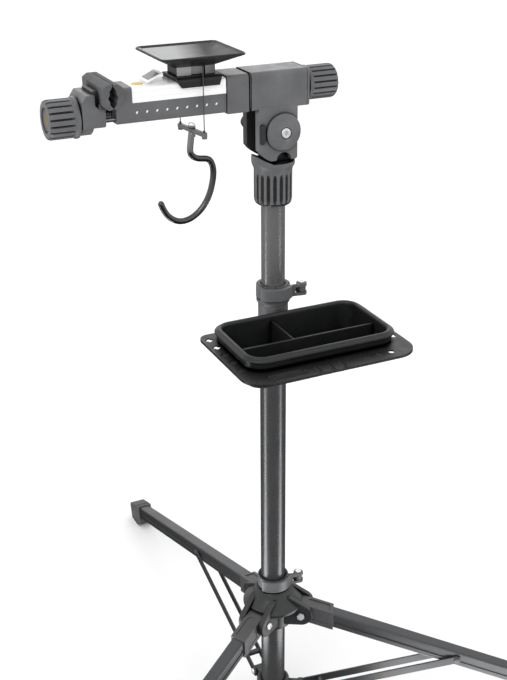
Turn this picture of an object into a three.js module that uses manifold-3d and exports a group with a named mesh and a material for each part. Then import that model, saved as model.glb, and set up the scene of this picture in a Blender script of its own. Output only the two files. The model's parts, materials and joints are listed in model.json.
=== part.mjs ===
// Bike repair stand: a folding tripod, a telescoping mast, a tool tray, a folding head
// and a turning clamp arm that carries a weighing dish and a hook. Millimetres, +Z up.
// The mast's axis is x = y = 0 and the floor is z = 0 while the pieces are drawn. The last
// lines move the whole stand so that its box is centred.
import * as THREE from "three";
import { mergeVertices } from "three/addons/utils/BufferGeometryUtils.js";
import Module from "manifold-3d";

const wasm = await Module();
wasm.setup();

// ---- Driving dimensions ----
const GAP = 0.3; // between pieces that touch
const FIT = 0.35; // radial clearance of a running fit

const LOWER_TUBE = { r: 20, bore: 18, bottom: 44, top: 797 };
const UPPER_TUBE = { r: 17.5, bore: 15.5, bottom: 72, top: 1000 };

// Tripod: legs hang on the slider, braces on the base hub, both on pivots at the same
// distance from the axis.
const LEG_AZIMUTHS = [90, 210, 330];
const PIVOT_R = 48;
const SLIDER_PIVOT_Z = 232;
const BASE_PIVOT_Z = 60;
const LEG_ANGLE = 18; // below the horizontal, with the stand open
const LEG_LENGTH = 664; // from its pivot to the centre of the foot
const BRACE_LENGTH = (SLIDER_PIVOT_Z - BASE_PIVOT_Z) / (2 * Math.sin((LEG_ANGLE * Math.PI) / 180));
const LEG_SECTION = { wide: 22, tall: 27, wall: 2.2, groove: 1.6, corner: 3 };
const EAR = { inner: 14.6, outer: 24, round: 19 };
const STRIP = { inner: 11.4, thick: 3, eye: 9, half: 7 };

// Quick-release clamps: a split neck on the moulding, a band round it and a cam lever on a vertical pin.
const NECK_R = 22.6;
const BAND = { inner: 22.9, outer: 25.4, tall: 19 };
const LEVER = { inner: 25.9, outer: 30, start: 205, end: 322, eye: 8, fork: 9 };
const QR_PIN = { x: 40, y: -14, r: 3 };
const SLIDER_TOP = 299;
const SLEEVE = { bottom: 745, top: 820, r: 22.4 };

// Head: two cheeks on a tongue, folding about the pivot, below a housing that the arm turns in.
const PIVOT = { x: 2.5, z: 1052 };
const HEAD = { left: -46, right: 43, half: 27, bottom: 1085, top: 1136 };
const CHEEK = { left: -34, right: 25, bottom: 1012, inner: 14, sweep: 44 };
const TONGUE = { half: 13.6, round: 19.5 };
const COLLAR = { bottom: 943, top: 1007, horn: 1015, r: 27.5, rim: 31 };

// Arm: turns about the X axis line through z = ARM_Z.
const ARM_Z = 1110;
const AXLE_R = 16;
const ROOT = { left: -80, right: -47.5, half: 26 };
const BEAM = { left: -234, shoulder: -229.6, right: -80.3, half: 24, bottom: 1086.5, top: 1132.5 };
const COVER = { left: -212, low: 1112.4, thick: 1.5 };
const JAW = { split: -243, z: 1142.6, half: 43, low: 1110 };
const CARRIER = { left: -279.5, right: -249, step: -262, half: 27, bottom: 1086, low: 1109.6, top: 1128 };
const SCREW = { z: 1096.5, r: 5.5 };
const ROD = { y: 17, z: 1092.5, r: 3 };

// Weighing gear on the arm.
const SCALE_X = -121;
const SADDLE = { left: -151, right: -88, top: 1139, low: 1125.6, half: 28.5 };
const DISH = { floor: 1150, rim: 1169, baseX: 29.5, baseY: 19.5, rimX: 59, rimY: 53, wall: 2.4 };
const YOKE = { z: 1062, half: 34, yaw: 9, wireY: 31 };

// Tool tray on the front of the mast.
const TRAY = { back: -37, front: -165, half: 110, floor: 739.5, rim: 788, wall: 3 };
const FLANGE = { top: 768, thick: 4, half: 132, back: -22, front: -205 };
const TRAY_CLAMP = { bottom: 706, top: 744, r: 30 };

// ---- Materials ----
const finish = (color, roughness, metalness) =>
  new THREE.MeshStandardMaterial({ color, roughness, metalness });
const charcoal = () => finish(0x4a4b4d, 0.5, 0.0); // satin moulded plastic
const black = () => finish(0x1b1c1d, 0.55, 0.0); // textured plastic
const anodised = () => finish(0x3a3b3d, 0.35, 0.8);
const alloy = () => finish(0xa9abad, 0.35, 0.9);
const steel = () => finish(0xd0d1d3, 0.2, 1.0);
const silver = () => finish(0xe4e5e6, 0.35, 0.6);
const rubber = () => finish(0x58595b, 0.8, 0.0);
const vinyl = () => finish(0x0d0d0e, 0.12, 0.0);

// ---- Solid helpers ----
function solid(geometry) {
  const bare = geometry.index ? geometry.toNonIndexed() : geometry.clone();
  bare.deleteAttribute("normal");
  bare.deleteAttribute("uv");
  const merged = mergeVertices(bare, 1e-4);
  const triVerts = new Uint32Array(merged.index.array);
  const vertProperties = merged.attributes.position.array;
  const made = new wasm.Manifold(new wasm.Mesh({ numProp: 3, vertProperties, triVerts }));
  if (made.volume() > 0) return made;
  for (let i = 0; i < triVerts.length; i += 3) {
    [triVerts[i + 1], triVerts[i + 2]] = [triVerts[i + 2], triVerts[i + 1]];
  }
  return new wasm.Manifold(new wasm.Mesh({ numProp: 3, vertProperties, triVerts }));
}

const union = (...parts) => parts.reduce((a, b) => a.add(b));
const cut = (from, ...tools) => tools.reduce((a, b) => a.subtract(b), from);

function geometryOf(body) {
  const mesh = body.getMesh();
  const geometry = new THREE.BufferGeometry();
  geometry.setAttribute("position", new THREE.BufferAttribute(new Float32Array(mesh.vertProperties), 3));
  geometry.setIndex(new THREE.BufferAttribute(new Uint32Array(mesh.triVerts), 1));
  const faceted = geometry.toNonIndexed();
  faceted.computeVertexNormals();
  return faceted;
}

const stand = new THREE.Group();
function add(name, body, material, parent = stand) {
  const mesh = new THREE.Mesh(geometryOf(body), material);
  mesh.name = name;
  parent.add(mesh);
  return mesh;
}

const radians = (degrees) => (degrees * Math.PI) / 180;

function box(x0, x1, y0, y1, z0, z1) {
  const g = new THREE.BoxGeometry(x1 - x0, y1 - y0, z1 - z0);
  g.translate((x0 + x1) / 2, (y0 + y1) / 2, (z0 + z1) / 2);
  return solid(g);
}

// A round bar along an axis through the other two coordinates, from low to high.
function bar(axis, r, low, high, a = 0, b = 0, segments = 32) {
  const g = new THREE.CylinderGeometry(r, r, high - low, segments);
  const mid = (low + high) / 2;
  if (axis === "x") g.rotateZ(Math.PI / 2).translate(mid, a, b);
  if (axis === "y") g.translate(a, mid, b);
  if (axis === "z") g.rotateX(Math.PI / 2).translate(a, b, mid);
  return solid(g);
}

// A turned body about the Z axis from [radius, z] points.
function turned(points, segments = 32) {
  const g = new THREE.LatheGeometry(points.map(([r, z]) => new THREE.Vector2(r, z)), segments);
  return solid(g.rotateX(Math.PI / 2));
}

// A turned body about the X or Y axis line: height runs along the axis from `at`.
function turnedAlong(axis, at, a, b, points, segments = 32) {
  const g = new THREE.LatheGeometry(points.map(([r, h]) => new THREE.Vector2(r, h)), segments);
  if (axis === "x") g.rotateZ(-Math.PI / 2).translate(at, a, b);
  if (axis === "y") g.translate(a, at, b);
  return solid(g);
}

function shapeOf(points) {
  return new THREE.Shape(points.map(([u, v]) => new THREE.Vector2(u, v)));
}

// A rectangle with its own radius at each corner, from the low-low corner anticlockwise.
function roundedRect(u0, u1, v0, v1, radii, steps = 4) {
  const [a, b, c, d] = Array.isArray(radii) ? radii : [radii, radii, radii, radii];
  const corners = [
    [u0 + a, v0 + a, a, 180],
    [u1 - b, v0 + b, b, 270],
    [u1 - c, v1 - c, c, 0],
    [u0 + d, v1 - d, d, 90],
  ];
  const outline = [];
  for (const [u, v, r, start] of corners) {
    const arcSteps = r > 0 ? steps : 0;
    for (let i = 0; i <= arcSteps; i++) {
      const angle = radians(start + (arcSteps > 0 ? (90 * i) / arcSteps : 0));
      outline.push([u + r * Math.cos(angle), v + r * Math.sin(angle)]);
    }
  }
  return shapeOf(outline);
}

// A shape drawn in the xy, yz or xz plane, extruded from low to high along the third axis.
function extrude(shape, plane, low, high, bevel = 0, curveSegments = 5) {
  const g = new THREE.ExtrudeGeometry(shape, {
    depth: high - low - 2 * bevel,
    curveSegments,
    bevelEnabled: bevel > 0,
    bevelThickness: bevel,
    bevelSize: bevel,
    bevelOffset: -bevel,
    bevelSegments: 1,
  });
  g.translate(0, 0, low + bevel);
  const turn = new THREE.Matrix4();
  const [x, y, z] = [new THREE.Vector3(1, 0, 0), new THREE.Vector3(0, 1, 0), new THREE.Vector3(0, 0, 1)];
  if (plane === "yz") g.applyMatrix4(turn.makeBasis(y, z, x));
  if (plane === "xz") {
    g.translate(0, 0, -low - high);
    g.applyMatrix4(turn.makeBasis(x, z, y.negate()));
  }
  return solid(g);
}

// A skin through rings of points, closed at both ends. Each ring is convex and they all
// have the same number of points.
function loft(rings) {
  const n = rings[0].length;
  const points = rings.flat();
  const faces = [];
  for (let k = 0; k + 1 < rings.length; k++) {
    for (let i = 0; i < n; i++) {
      const j = (i + 1) % n;
      const [p, q, r, s] = [k * n + i, k * n + j, (k + 1) * n + j, (k + 1) * n + i];
      faces.push(p, q, r, p, r, s);
    }
  }
  const last = (rings.length - 1) * n;
  for (let i = 1; i + 1 < n; i++) {
    faces.push(0, i + 1, i);
    faces.push(last, last + i, last + i + 1);
  }
  const g = new THREE.BufferGeometry();
  g.setAttribute("position", new THREE.Float32BufferAttribute(points.flat(), 3));
  g.setIndex(faces);
  return solid(g);
}

// A rounded rectangle as a ring at one height, for loft.
function ringAt(z, x, y, halfX, halfY, r, steps = 4) {
  const ring = [];
  const corners = [[1, 1, 0], [-1, 1, 90], [-1, -1, 180], [1, -1, 270]];
  for (const [sx, sy, start] of corners) {
    for (let i = 0; i <= steps; i++) {
      const a = radians(start + (90 * i) / steps);
      ring.push([x + sx * (halfX - r) + r * Math.cos(a), y + sy * (halfY - r) + r * Math.sin(a), z]);
    }
  }
  return ring;
}

// A fluted outline: a circle with `count` round grooves of the given depth.
function flutedShape(r, depth, count, points = 4) {
  const outline = [];
  for (let i = 0; i < count * points; i++) {
    const dip = i % points === 1 ? depth : 0;
    const a = (2 * Math.PI * i) / (count * points);
    outline.push([(r - dip) * Math.cos(a), (r - dip) * Math.sin(a)]);
  }
  return shapeOf(outline);
}

const turnedAboutMast = (body, degrees) => body.rotate([0, 0, degrees]);

// ---- Mast ----
add(
  "lower_tube",
  cut(
    bar("z", LOWER_TUBE.r, LOWER_TUBE.bottom, LOWER_TUBE.top, 0, 0),
    bar("z", LOWER_TUBE.bore, LOWER_TUBE.bottom - 1, LOWER_TUBE.top + 1, 0, 0),
  ),
  anodised(),
);
add(
  "upper_tube",
  cut(
    bar("z", UPPER_TUBE.r, UPPER_TUBE.bottom, UPPER_TUBE.top, 0, 0),
    bar("z", UPPER_TUBE.bore, UPPER_TUBE.bottom - 1, UPPER_TUBE.top + 1, 0, 0),
  ),
  anodised(),
);
// Plastic plug that centres the foot of the upper tube in the lower one.
const bushTop = UPPER_TUBE.bottom - GAP;
add(
  "tube_bush",
  cut(
    turned([
      [0, bushTop - 12], [LOWER_TUBE.bore - 0.2, bushTop - 12], [LOWER_TUBE.bore - 0.2, bushTop],
      [UPPER_TUBE.bore - GAP, bushTop], [UPPER_TUBE.bore - GAP, bushTop + 18], [0, bushTop + 18],
    ]),
    bar("z", 9, bushTop - 20, bushTop + 20),
  ),
  black(),
);

// ---- Quick-release clamps ----
const pinAngle = (Math.atan2(QR_PIN.y, QR_PIN.x) * 180) / Math.PI;
const pinReach = Math.hypot(QR_PIN.x, QR_PIN.y);

function clampBand(bottom) {
  const middle = bottom + BAND.tall / 2;
  const ear = union(
    box(BAND.inner + 1, pinReach, -3.6, 3.6, middle - 4, middle + 4),
    bar("z", 6.4, middle - 4, middle + 4, pinReach, 0),
  );
  const band = union(bar("z", BAND.outer, bottom, bottom + BAND.tall), turnedAboutMast(ear, pinAngle));
  const slit = turnedAboutMast(
    box(15, BAND.outer + 1, 6.2, 7.6, bottom - 1, bottom + BAND.tall + 1),
    pinAngle,
  );
  return cut(
    band,
    bar("z", BAND.inner, bottom - 1, bottom + BAND.tall + 1),
    slit,
    bar("z", QR_PIN.r + FIT, bottom - 1, bottom + BAND.tall + 1, QR_PIN.x, QR_PIN.y, 16),
  );
}

function camLever(bottom) {
  const start = radians(LEVER.start);
  const end = radians(LEVER.end);
  const s = new THREE.Shape();
  s.absarc(0, 0, LEVER.outer, start, end, false);
  s.absarc(QR_PIN.x, QR_PIN.y, LEVER.eye, radians(-70), radians(110), false);
  s.absarc(QR_PIN.x, QR_PIN.y, LEVER.eye, radians(110), radians(200), false);
  s.absarc(0, 0, LEVER.inner, end, start, true);
  const top = bottom + BAND.tall;
  const middle = bottom + BAND.tall / 2;
  return cut(
    extrude(s, "xy", bottom, top, 0, 7),
    bar("z", QR_PIN.r + FIT, bottom - 1, top + 1, QR_PIN.x, QR_PIN.y, 16),
    bar("z", 13.5, middle - LEVER.fork / 2, middle + LEVER.fork / 2, QR_PIN.x, QR_PIN.y),
  );
}

function qrPin(bottom) {
  const top = bottom + BAND.tall;
  return union(
    bar("z", QR_PIN.r, bottom - 0.4, top + 0.6, QR_PIN.x, QR_PIN.y, 16),
    bar("z", QR_PIN.r + 1.8, top + GAP, top + 1.8, QR_PIN.x, QR_PIN.y, 16),
  );
}

// Four slots let the neck of a clamp moulding close on its tube.
function neckSlots(inner, bottom, top) {
  return [20, 110, 200, 254].map((a) =>
    turnedAboutMast(box(inner - 1.5, NECK_R + 0.1, -0.7, 0.7, bottom, top + 1), a),
  );
}

// ---- Mast sleeve with its quick release ----
const sleeveBand = SLEEVE.top - BAND.tall - 1;
add(
  "mast_sleeve",
  cut(
    turned([
      [UPPER_TUBE.r + FIT, LOWER_TUBE.top + GAP], [UPPER_TUBE.r + FIT, SLEEVE.top],
      [NECK_R - 1, SLEEVE.top], [NECK_R, SLEEVE.top - 1],
      [NECK_R, sleeveBand - 1.5], [SLEEVE.r + 2.6, sleeveBand - 2], [SLEEVE.r + 2.6, sleeveBand - 7],
      [SLEEVE.r, sleeveBand - 10], [SLEEVE.r, SLEEVE.bottom + 1], [SLEEVE.r - 1, SLEEVE.bottom],
      [LOWER_TUBE.r + FIT, SLEEVE.bottom], [LOWER_TUBE.r + FIT, LOWER_TUBE.top + GAP],
      [UPPER_TUBE.r + FIT, LOWER_TUBE.top + GAP],
    ]),
    ...neckSlots(UPPER_TUBE.r, sleeveBand, SLEEVE.top),
  ),
  charcoal(),
);
add("mast_clamp_band", clampBand(sleeveBand), charcoal());
add("mast_qr_lever", camLever(sleeveBand), charcoal());
add("mast_qr_pin", qrPin(sleeveBand), steel());

// ---- Slider that the legs hang on ----
// Radial profile of one ear, drawn with the distance from the mast and the height.
function earPlate(low, high) {
  const s = new THREE.Shape();
  s.moveTo(21, SLIDER_PIVOT_Z - EAR.round);
  s.lineTo(PIVOT_R, SLIDER_PIVOT_Z - EAR.round);
  s.absarc(PIVOT_R, SLIDER_PIVOT_Z, EAR.round, -Math.PI / 2, radians(62), false);
  s.lineTo(28, 268);
  s.lineTo(21, 268);
  return extrude(s, "xz", low, high, 0, 6);
}

const sliderBody = turned([
  [0, 205], [31, 205], [31, 241], [50, 244], [50, 249.5], [38, 261], [31, 272], [28.5, 277],
  [NECK_R, 278.4], [NECK_R, SLIDER_TOP], [0, SLIDER_TOP],
]);
const ears = LEG_AZIMUTHS.flatMap((a) => [
  turnedAboutMast(earPlate(EAR.inner, EAR.outer), a),
  turnedAboutMast(earPlate(-EAR.outer, -EAR.inner), a),
]);
const legSlots = LEG_AZIMUTHS.map((a) =>
  turnedAboutMast(
    union(
      box(PIVOT_R - 16.5, 90, -EAR.inner, EAR.inner, 195, 251.8),
      bar("y", 4.4, -30, 30, PIVOT_R, SLIDER_PIVOT_Z, 16),
    ),
    a,
  ),
);
add(
  "slider_hub",
  cut(
    union(sliderBody, ...ears),
    ...legSlots,
    bar("z", LOWER_TUBE.r + FIT, 190, SLIDER_TOP + 1, 0, 0),
    ...neckSlots(LOWER_TUBE.r, SLIDER_TOP - BAND.tall, SLIDER_TOP),
  ),
  charcoal(),
);
const sliderBand = SLIDER_TOP - BAND.tall;
add("base_clamp_band", clampBand(sliderBand), charcoal());
add("base_qr_lever", camLever(sliderBand), charcoal());
add("base_qr_pin", qrPin(sliderBand), steel());

// ---- Base hub that the braces hang on ----
const lugs = LEG_AZIMUTHS.map((a) =>
  turnedAboutMast(
    union(
      box(22, PIVOT_R, -11, 11, BASE_PIVOT_Z - 9, BASE_PIVOT_Z + 9),
      bar("y", 9, -11, 11, PIVOT_R, BASE_PIVOT_Z),
    ),
    a,
  ),
);
const lugHoles = LEG_AZIMUTHS.map((azimuth) =>
  turnedAboutMast(bar("y", 3.5, -20, 20, PIVOT_R, BASE_PIVOT_Z, 16), azimuth),
);
add(
  "base_hub",
  cut(
    union(
      turned([
        [0, 36], [24, 36], [28, 40], [28, 78], [25, 82], [0, 82],
      ]),
      ...lugs,
    ),
    bar("z", LOWER_TUBE.r + FIT, LOWER_TUBE.bottom - GAP, 100, 0, 0),
    bar("z", 6, 30, 50),
    ...lugHoles,
  ),
  charcoal(),
);

// ---- Three legs, each with its bracket, foot, bolt, brace and brace bolt ----
// Drawn along local +X from the pivot, then tipped down and turned about the mast.
function legSection(halfWide, halfTall) {
  return roundedRect(-halfWide, halfWide, -halfTall, halfTall, LEG_SECTION.corner);
}

function legTube() {
  const { wide, tall, wall, groove } = LEG_SECTION;
  const outer = extrude(legSection(wide / 2, tall / 2), "yz", 24, LEG_LENGTH + 8, 0, 3);
  const innerSection = legSection(wide / 2 - wall - groove, tall / 2 - wall);
  const inner = extrude(innerSection, "yz", 20, LEG_LENGTH + 20, 0, 2);
  const grooves = [-1, 1].map((side) => {
    const face = (side * wide) / 2;
    const bed = face - side * groove;
    return box(60, LEG_LENGTH - 40, Math.min(face, bed), Math.max(face, bed), -4.5, 4.5);
  });
  return cut(outer, inner, ...grooves);
}

function legBracket() {
  const { wide, tall } = LEG_SECTION;
  const half = wide / 2 + 3;
  const high = tall / 2 + 2.6;
  const s = new THREE.Shape();
  s.absarc(0, 0, 15, Math.PI / 2, Math.PI * 1.5, false);
  s.lineTo(12, -high);
  s.lineTo(62, -high);
  s.lineTo(52, high);
  s.lineTo(12, high);
  return cut(
    extrude(s, "xz", -half, half, 1.2, 10),
    box(23.7, 70, -wide / 2 - GAP, wide / 2 + GAP, -tall / 2 - GAP, tall / 2 + GAP),
    bar("y", 4.4, -20, 20, 0, 0, 16),
  );
}

function legFoot() {
  const { wide, tall } = LEG_SECTION;
  const s = new THREE.Shape();
  const high = tall / 2 + 3;
  s.moveTo(-34, -high);
  s.lineTo(-22, -high - 11);
  s.lineTo(16, -high - 20);
  s.lineTo(26, -high - 4);
  s.lineTo(26, high - 6);
  s.lineTo(18, high);
  s.lineTo(-34, high);
  return cut(
    extrude(s, "xz", -wide / 2 - 4, wide / 2 + 4, 2, 4),
    box(-40, 8 + GAP, -wide / 2 - GAP, wide / 2 + GAP, -tall / 2 - GAP, tall / 2 + GAP),
  );
}

// Two strips that pass either side of the leg, joined by a spacer near the base hub,
// with a rivet at the far end.
function brace() {
  const { inner, thick, eye, half } = STRIP;
  const far = BRACE_LENGTH;
  const s = new THREE.Shape();
  s.absarc(0, 0, eye, radians(50), radians(310), false);
  s.lineTo(14, -half);
  s.lineTo(far, -half);
  s.absarc(far, 0, half, -Math.PI / 2, Math.PI / 2, false);
  s.lineTo(14, half);
  const strips = [inner, -inner - thick].map((low) => extrude(s, "xz", low, low + thick, 0, 4));
  const rivets = [inner + thick - 0.5, -inner - thick - 2].map((low) =>
    bar("y", 5, low, low + 2.5, far, 0, 12),
  );
  return cut(
    union(...strips, ...rivets, bar("y", 5, -inner - 1, inner + 1, 36, 0, 12)),
    bar("y", 3.5, -30, 30, 0, 0, 16),
  );
}

// A bolt across a joint: a shank, a low round head and a nut.
function crossBolt(r, half, headR) {
  return union(
    bar("y", r, -half - 1, half + 1, 0, 0, 16),
    turnedAlong(
      "y", half + GAP, 0, 0,
      [[0, 0], [headR, 0], [headR, 1.6], [headR - 1.8, 3.2], [0, 3.2]],
      16,
    ),
    bar("y", headR, -half - 4.5, -half - GAP, 0, 0, 6),
  );
}

LEG_AZIMUTHS.forEach((azimuth, i) => {
  const side = new THREE.Group();
  side.rotation.z = radians(azimuth);
  stand.add(side);

  const leg = new THREE.Group();
  leg.position.set(PIVOT_R, 0, SLIDER_PIVOT_Z);
  leg.rotation.y = radians(LEG_ANGLE);
  side.add(leg);
  add(`leg_${i + 1}`, legTube(), anodised(), leg);
  add(`leg_bracket_${i + 1}`, legBracket(), alloy(), leg);
  add(`leg_bolt_${i + 1}`, crossBolt(4, EAR.outer, 6.5), steel(), leg);

  // The rubber shoe is level, so that its sole lies flat on the floor.
  const reach = PIVOT_R + LEG_LENGTH * Math.cos(radians(LEG_ANGLE));
  const height = SLIDER_PIVOT_Z - LEG_LENGTH * Math.sin(radians(LEG_ANGLE));
  const shoe = cut(
    legFoot().rotate([0, LEG_ANGLE, 0]).translate([reach, 0, height]),
    box(reach - 90, reach + 90, -60, 60, -60, 0),
  );
  add(`foot_${i + 1}`, shoe, rubber(), side);

  const strut = new THREE.Group();
  strut.position.set(PIVOT_R, 0, BASE_PIVOT_Z);
  strut.rotation.y = -radians(LEG_ANGLE);
  side.add(strut);
  add(`brace_${i + 1}`, brace(), anodised(), strut);
  add(`brace_bolt_${i + 1}`, crossBolt(3.1, STRIP.inner + STRIP.thick, 5.5), steel(), strut);
});

// ---- Mast head: tongue, locking collar, housing ----
const tongueShape = new THREE.Shape();
tongueShape.moveTo(PIVOT.x - TONGUE.round, 1006);
tongueShape.lineTo(PIVOT.x + TONGUE.round, 1006);
tongueShape.absarc(PIVOT.x, PIVOT.z, TONGUE.round, 0, Math.PI, false);
add(
  "mast_fitting",
  cut(
    union(
      turned([
        [0, 958], [UPPER_TUBE.bore - GAP, 958], [UPPER_TUBE.bore - GAP, UPPER_TUBE.top + GAP],
        [22.6, UPPER_TUBE.top + GAP], [22.6, 1006], [20, 1007.4], [0, 1007.4],
      ]),
      extrude(tongueShape, "xz", -TONGUE.half, TONGUE.half, 1, 12),
    ),
    bar("y", 5.4, -20, 20, PIVOT.x, PIVOT.z, 16),
    bar("z", 10, 950, 985),
  ),
  black(),
);

// Fluted collar: a cup that rises round the foot of the cheeks at the sides and dips at
// the front and back.
const collarBlank = turned([
  [UPPER_TUBE.r + FIT, COLLAR.bottom], [COLLAR.r - 5, COLLAR.bottom], [COLLAR.r - 1, COLLAR.bottom + 5],
  [COLLAR.r, COLLAR.bottom + 9], [COLLAR.r, 994], [COLLAR.rim, 1004], [COLLAR.rim, COLLAR.horn],
  [COLLAR.rim - 2.6, COLLAR.horn], [COLLAR.rim - 4.2, 1000], [23.4, 996], [23.4, 990],
  [UPPER_TUBE.r + FIT, 990], [UPPER_TUBE.r + FIT, COLLAR.bottom],
], 45);
const collarFlutes = [];
for (let i = 0; i < 18; i++) {
  collarFlutes.push(turnedAboutMast(bar("z", 2.6, COLLAR.bottom + 3, 990, COLLAR.r + 1.3, 0, 6), i * 20));
}
const collarDips = [-1, 1].map((side) =>
  extrude(
    shapeOf([[-40, 1030], [-27, 1016], [-12, COLLAR.top], [40, COLLAR.top], [40, 1030]]),
    "xz",
    Math.min(side * 13, side * 40),
    Math.max(side * 13, side * 40),
  ),
);
add("fold_collar", cut(collarBlank, ...collarFlutes, ...collarDips), charcoal());

// One cheek's outline: the lower corner on the arm's side keeps inside the circle that clears the collar.
function cheekShape() {
  const s = new THREE.Shape();
  const sideDrop = Math.sqrt(CHEEK.sweep ** 2 - (PIVOT.x - CHEEK.left) ** 2);
  const floorReach = Math.sqrt(CHEEK.sweep ** 2 - (PIVOT.z - CHEEK.bottom) ** 2);
  const from = Math.atan2(-sideDrop, CHEEK.left - PIVOT.x);
  const to = Math.atan2(CHEEK.bottom - PIVOT.z, -floorReach);
  s.moveTo(CHEEK.left, HEAD.bottom + 2);
  s.lineTo(CHEEK.left, PIVOT.z - sideDrop);
  s.absarc(PIVOT.x, PIVOT.z, CHEEK.sweep, from, to, false);
  s.lineTo(4 - 11, CHEEK.bottom);
  s.absarc(4, CHEEK.bottom, 11, Math.PI, 0, true);
  s.lineTo(CHEEK.right - 2, CHEEK.bottom);
  s.lineTo(CHEEK.right, CHEEK.bottom + 2);
  s.lineTo(CHEEK.right, HEAD.bottom + 2);
  return s;
}

// A slot-shaped outline standing on end, with half-round ends of radius r.
function stadium(u, low, high, r) {
  const s = new THREE.Shape();
  s.absarc(u, high - r, r, 0, Math.PI, false);
  s.absarc(u, low + r, r, Math.PI, 2 * Math.PI, false);
  return s;
}
const pill = (grow) => stadium(-29, 1038 - grow, 1065 + grow, 4 + grow);
const headSection = roundedRect(
  -HEAD.half, HEAD.half, HEAD.bottom, HEAD.top, [3, 3, 6, 6],
);
add(
  "head_housing",
  cut(
    union(
      extrude(headSection, "yz", HEAD.left, HEAD.right, 1.2),
      extrude(cheekShape(), "xz", -HEAD.half, -CHEEK.inner, 0, 8),
      extrude(cheekShape(), "xz", CHEEK.inner, HEAD.half, 0, 8),
    ),
    bar("x", AXLE_R + FIT, HEAD.left - 1, HEAD.right + 1, 0, ARM_Z),
    bar("y", 5.4, -40, 40, PIVOT.x, PIVOT.z, 16),
    extrude(pill(GAP), "xz", -40, -10, 0, 6),
  ),
  charcoal(),
);
add("release_button", extrude(pill(0), "xz", -HEAD.half - 3.2, -17.5, 1, 6), charcoal());
add(
  "pivot_cap",
  turnedAlong("y", -HEAD.half - GAP, PIVOT.x, PIVOT.z, [
    [5.4, 0], [26, 0], [26, -2], [24.5, -3.2], [8, -9.6], [8, -8.2], [5.4, -8.2], [5.4, 0],
  ], 32),
  charcoal(),
);
const boltEnd = -HEAD.half - 10.2;
add(
  "pivot_bolt",
  cut(
    union(
      bar("y", 5, boltEnd, 42, PIVOT.x, PIVOT.z, 16),
      bar("y", 7, boltEnd, boltEnd + 1.4, PIVOT.x, PIVOT.z, 16),
    ),
    bar("y", 2.9, boltEnd - 1, boltEnd + 4, PIVOT.x, PIVOT.z, 6),
  ),
  steel(),
);
const scallops = shapeOf(
  Array.from({ length: 72 }, (_, i) => {
    const a = radians(i * 5);
    const r = 28.6 + 1.6 * Math.cos(8 * a);
    return [PIVOT.x + r * Math.cos(a), PIVOT.z + r * Math.sin(a)];
  }),
);
add(
  "pivot_knob",
  cut(
    union(
      extrude(scallops, "xz", HEAD.half + 4, HEAD.half + 26, 2),
      bar("y", 13, HEAD.half + GAP, HEAD.half + 8, PIVOT.x, PIVOT.z),
    ),
    bar("y", 5.4, 0, 44, PIVOT.x, PIVOT.z, 16),
  ),
  black(),
);

// ---- Arm ----
add(
  "arm_axle",
  cut(bar("x", AXLE_R, ROOT.left + 3, 72, 0, ARM_Z), bar("x", 11, ROOT.left, 80, 0, ARM_Z)),
  alloy(),
);
add(
  "arm_root",
  cut(
    extrude(
      roundedRect(-ROOT.half, ROOT.half, ARM_Z - ROOT.half, ARM_Z + ROOT.half - 0.6, [3, 3, 6, 6]),
      "yz",
      ROOT.left,
      ROOT.right,
      1.4,
    ),
    bar("x", AXLE_R + GAP, ROOT.left + 2.7, ROOT.right + 1, 0, ARM_Z),
  ),
  charcoal(),
);

const beamOutline = shapeOf([
  [BEAM.left, BEAM.bottom], [BEAM.right, BEAM.bottom], [BEAM.right, BEAM.top], [BEAM.shoulder, BEAM.top],
  [BEAM.shoulder, JAW.low - GAP], [BEAM.left, JAW.low - GAP],
]);
const beamSection = roundedRect(-BEAM.half, BEAM.half, BEAM.bottom, BEAM.top, [2.5, 2.5, 4, 4]);
const screwBores = [
  bar("x", SCREW.r + 0.5, BEAM.left - 5, -200, 0, SCREW.z, 16),
  bar("x", ROD.r + FIT, BEAM.left - 5, -200, ROD.y, ROD.z, 20),
  bar("x", ROD.r + FIT, BEAM.left - 5, -200, -ROD.y, ROD.z, 20),
];
const coverSeat = cut(
  box(COVER.left, BEAM.right + 1, -40, 40, COVER.low, 1150),
  box(COVER.left - 1, BEAM.right + 2, -BEAM.half + 1.8, BEAM.half - 1.8, COVER.low - 1, BEAM.top - 1.8),
);
add(
  "arm_beam",
  cut(
    extrude(beamOutline, "xz", -BEAM.half, BEAM.half).intersect(
      extrude(beamSection, "yz", BEAM.left, BEAM.right, 0, 3),
    ),
    box(-222, -84, -20.5, 20.5, BEAM.bottom + 2.7, BEAM.top - 4.5),
    coverSeat,
    ...screwBores,
  ),
  charcoal(),
);

// Bent silver cover over the top and upper sides of the beam.
const coverOuter = roundedRect(-BEAM.half, BEAM.half, COVER.low, BEAM.top + 0.6, [0, 0, 4, 4]);
const coverInner = roundedRect(
  -BEAM.half + COVER.thick, BEAM.half - COVER.thick,
  COVER.low - 2, BEAM.top + 0.6 - COVER.thick,
  [0, 0, 0.8, 0.8],
);
add(
  "scale_cover",
  cut(
    extrude(coverOuter, "yz", COVER.left + GAP, BEAM.right - GAP, 0, 4),
    extrude(coverInner, "yz", COVER.left - 1, BEAM.right + 1, 0, 4),
  ),
  silver(),
);
const coverTop = BEAM.top + 0.6;

// Flip-up read-out, standing open.
const DISPLAY = { x: -187, half: 16, length: 24, thick: 2.6, tilt: 24 };
const displaySection = roundedRect(0, DISPLAY.length, 0.3, DISPLAY.thick, 0.8);
add(
  "display",
  union(
    extrude(displaySection, "xz", -DISPLAY.half, DISPLAY.half, 0.4, 3),
    bar("y", 1.3, -DISPLAY.half + 2, DISPLAY.half - 2, 0, 1.4, 16),
  )
    .rotate([0, -DISPLAY.tilt, 0])
    .translate([DISPLAY.x, 0, coverTop + 0.6]),
  charcoal(),
);

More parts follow.
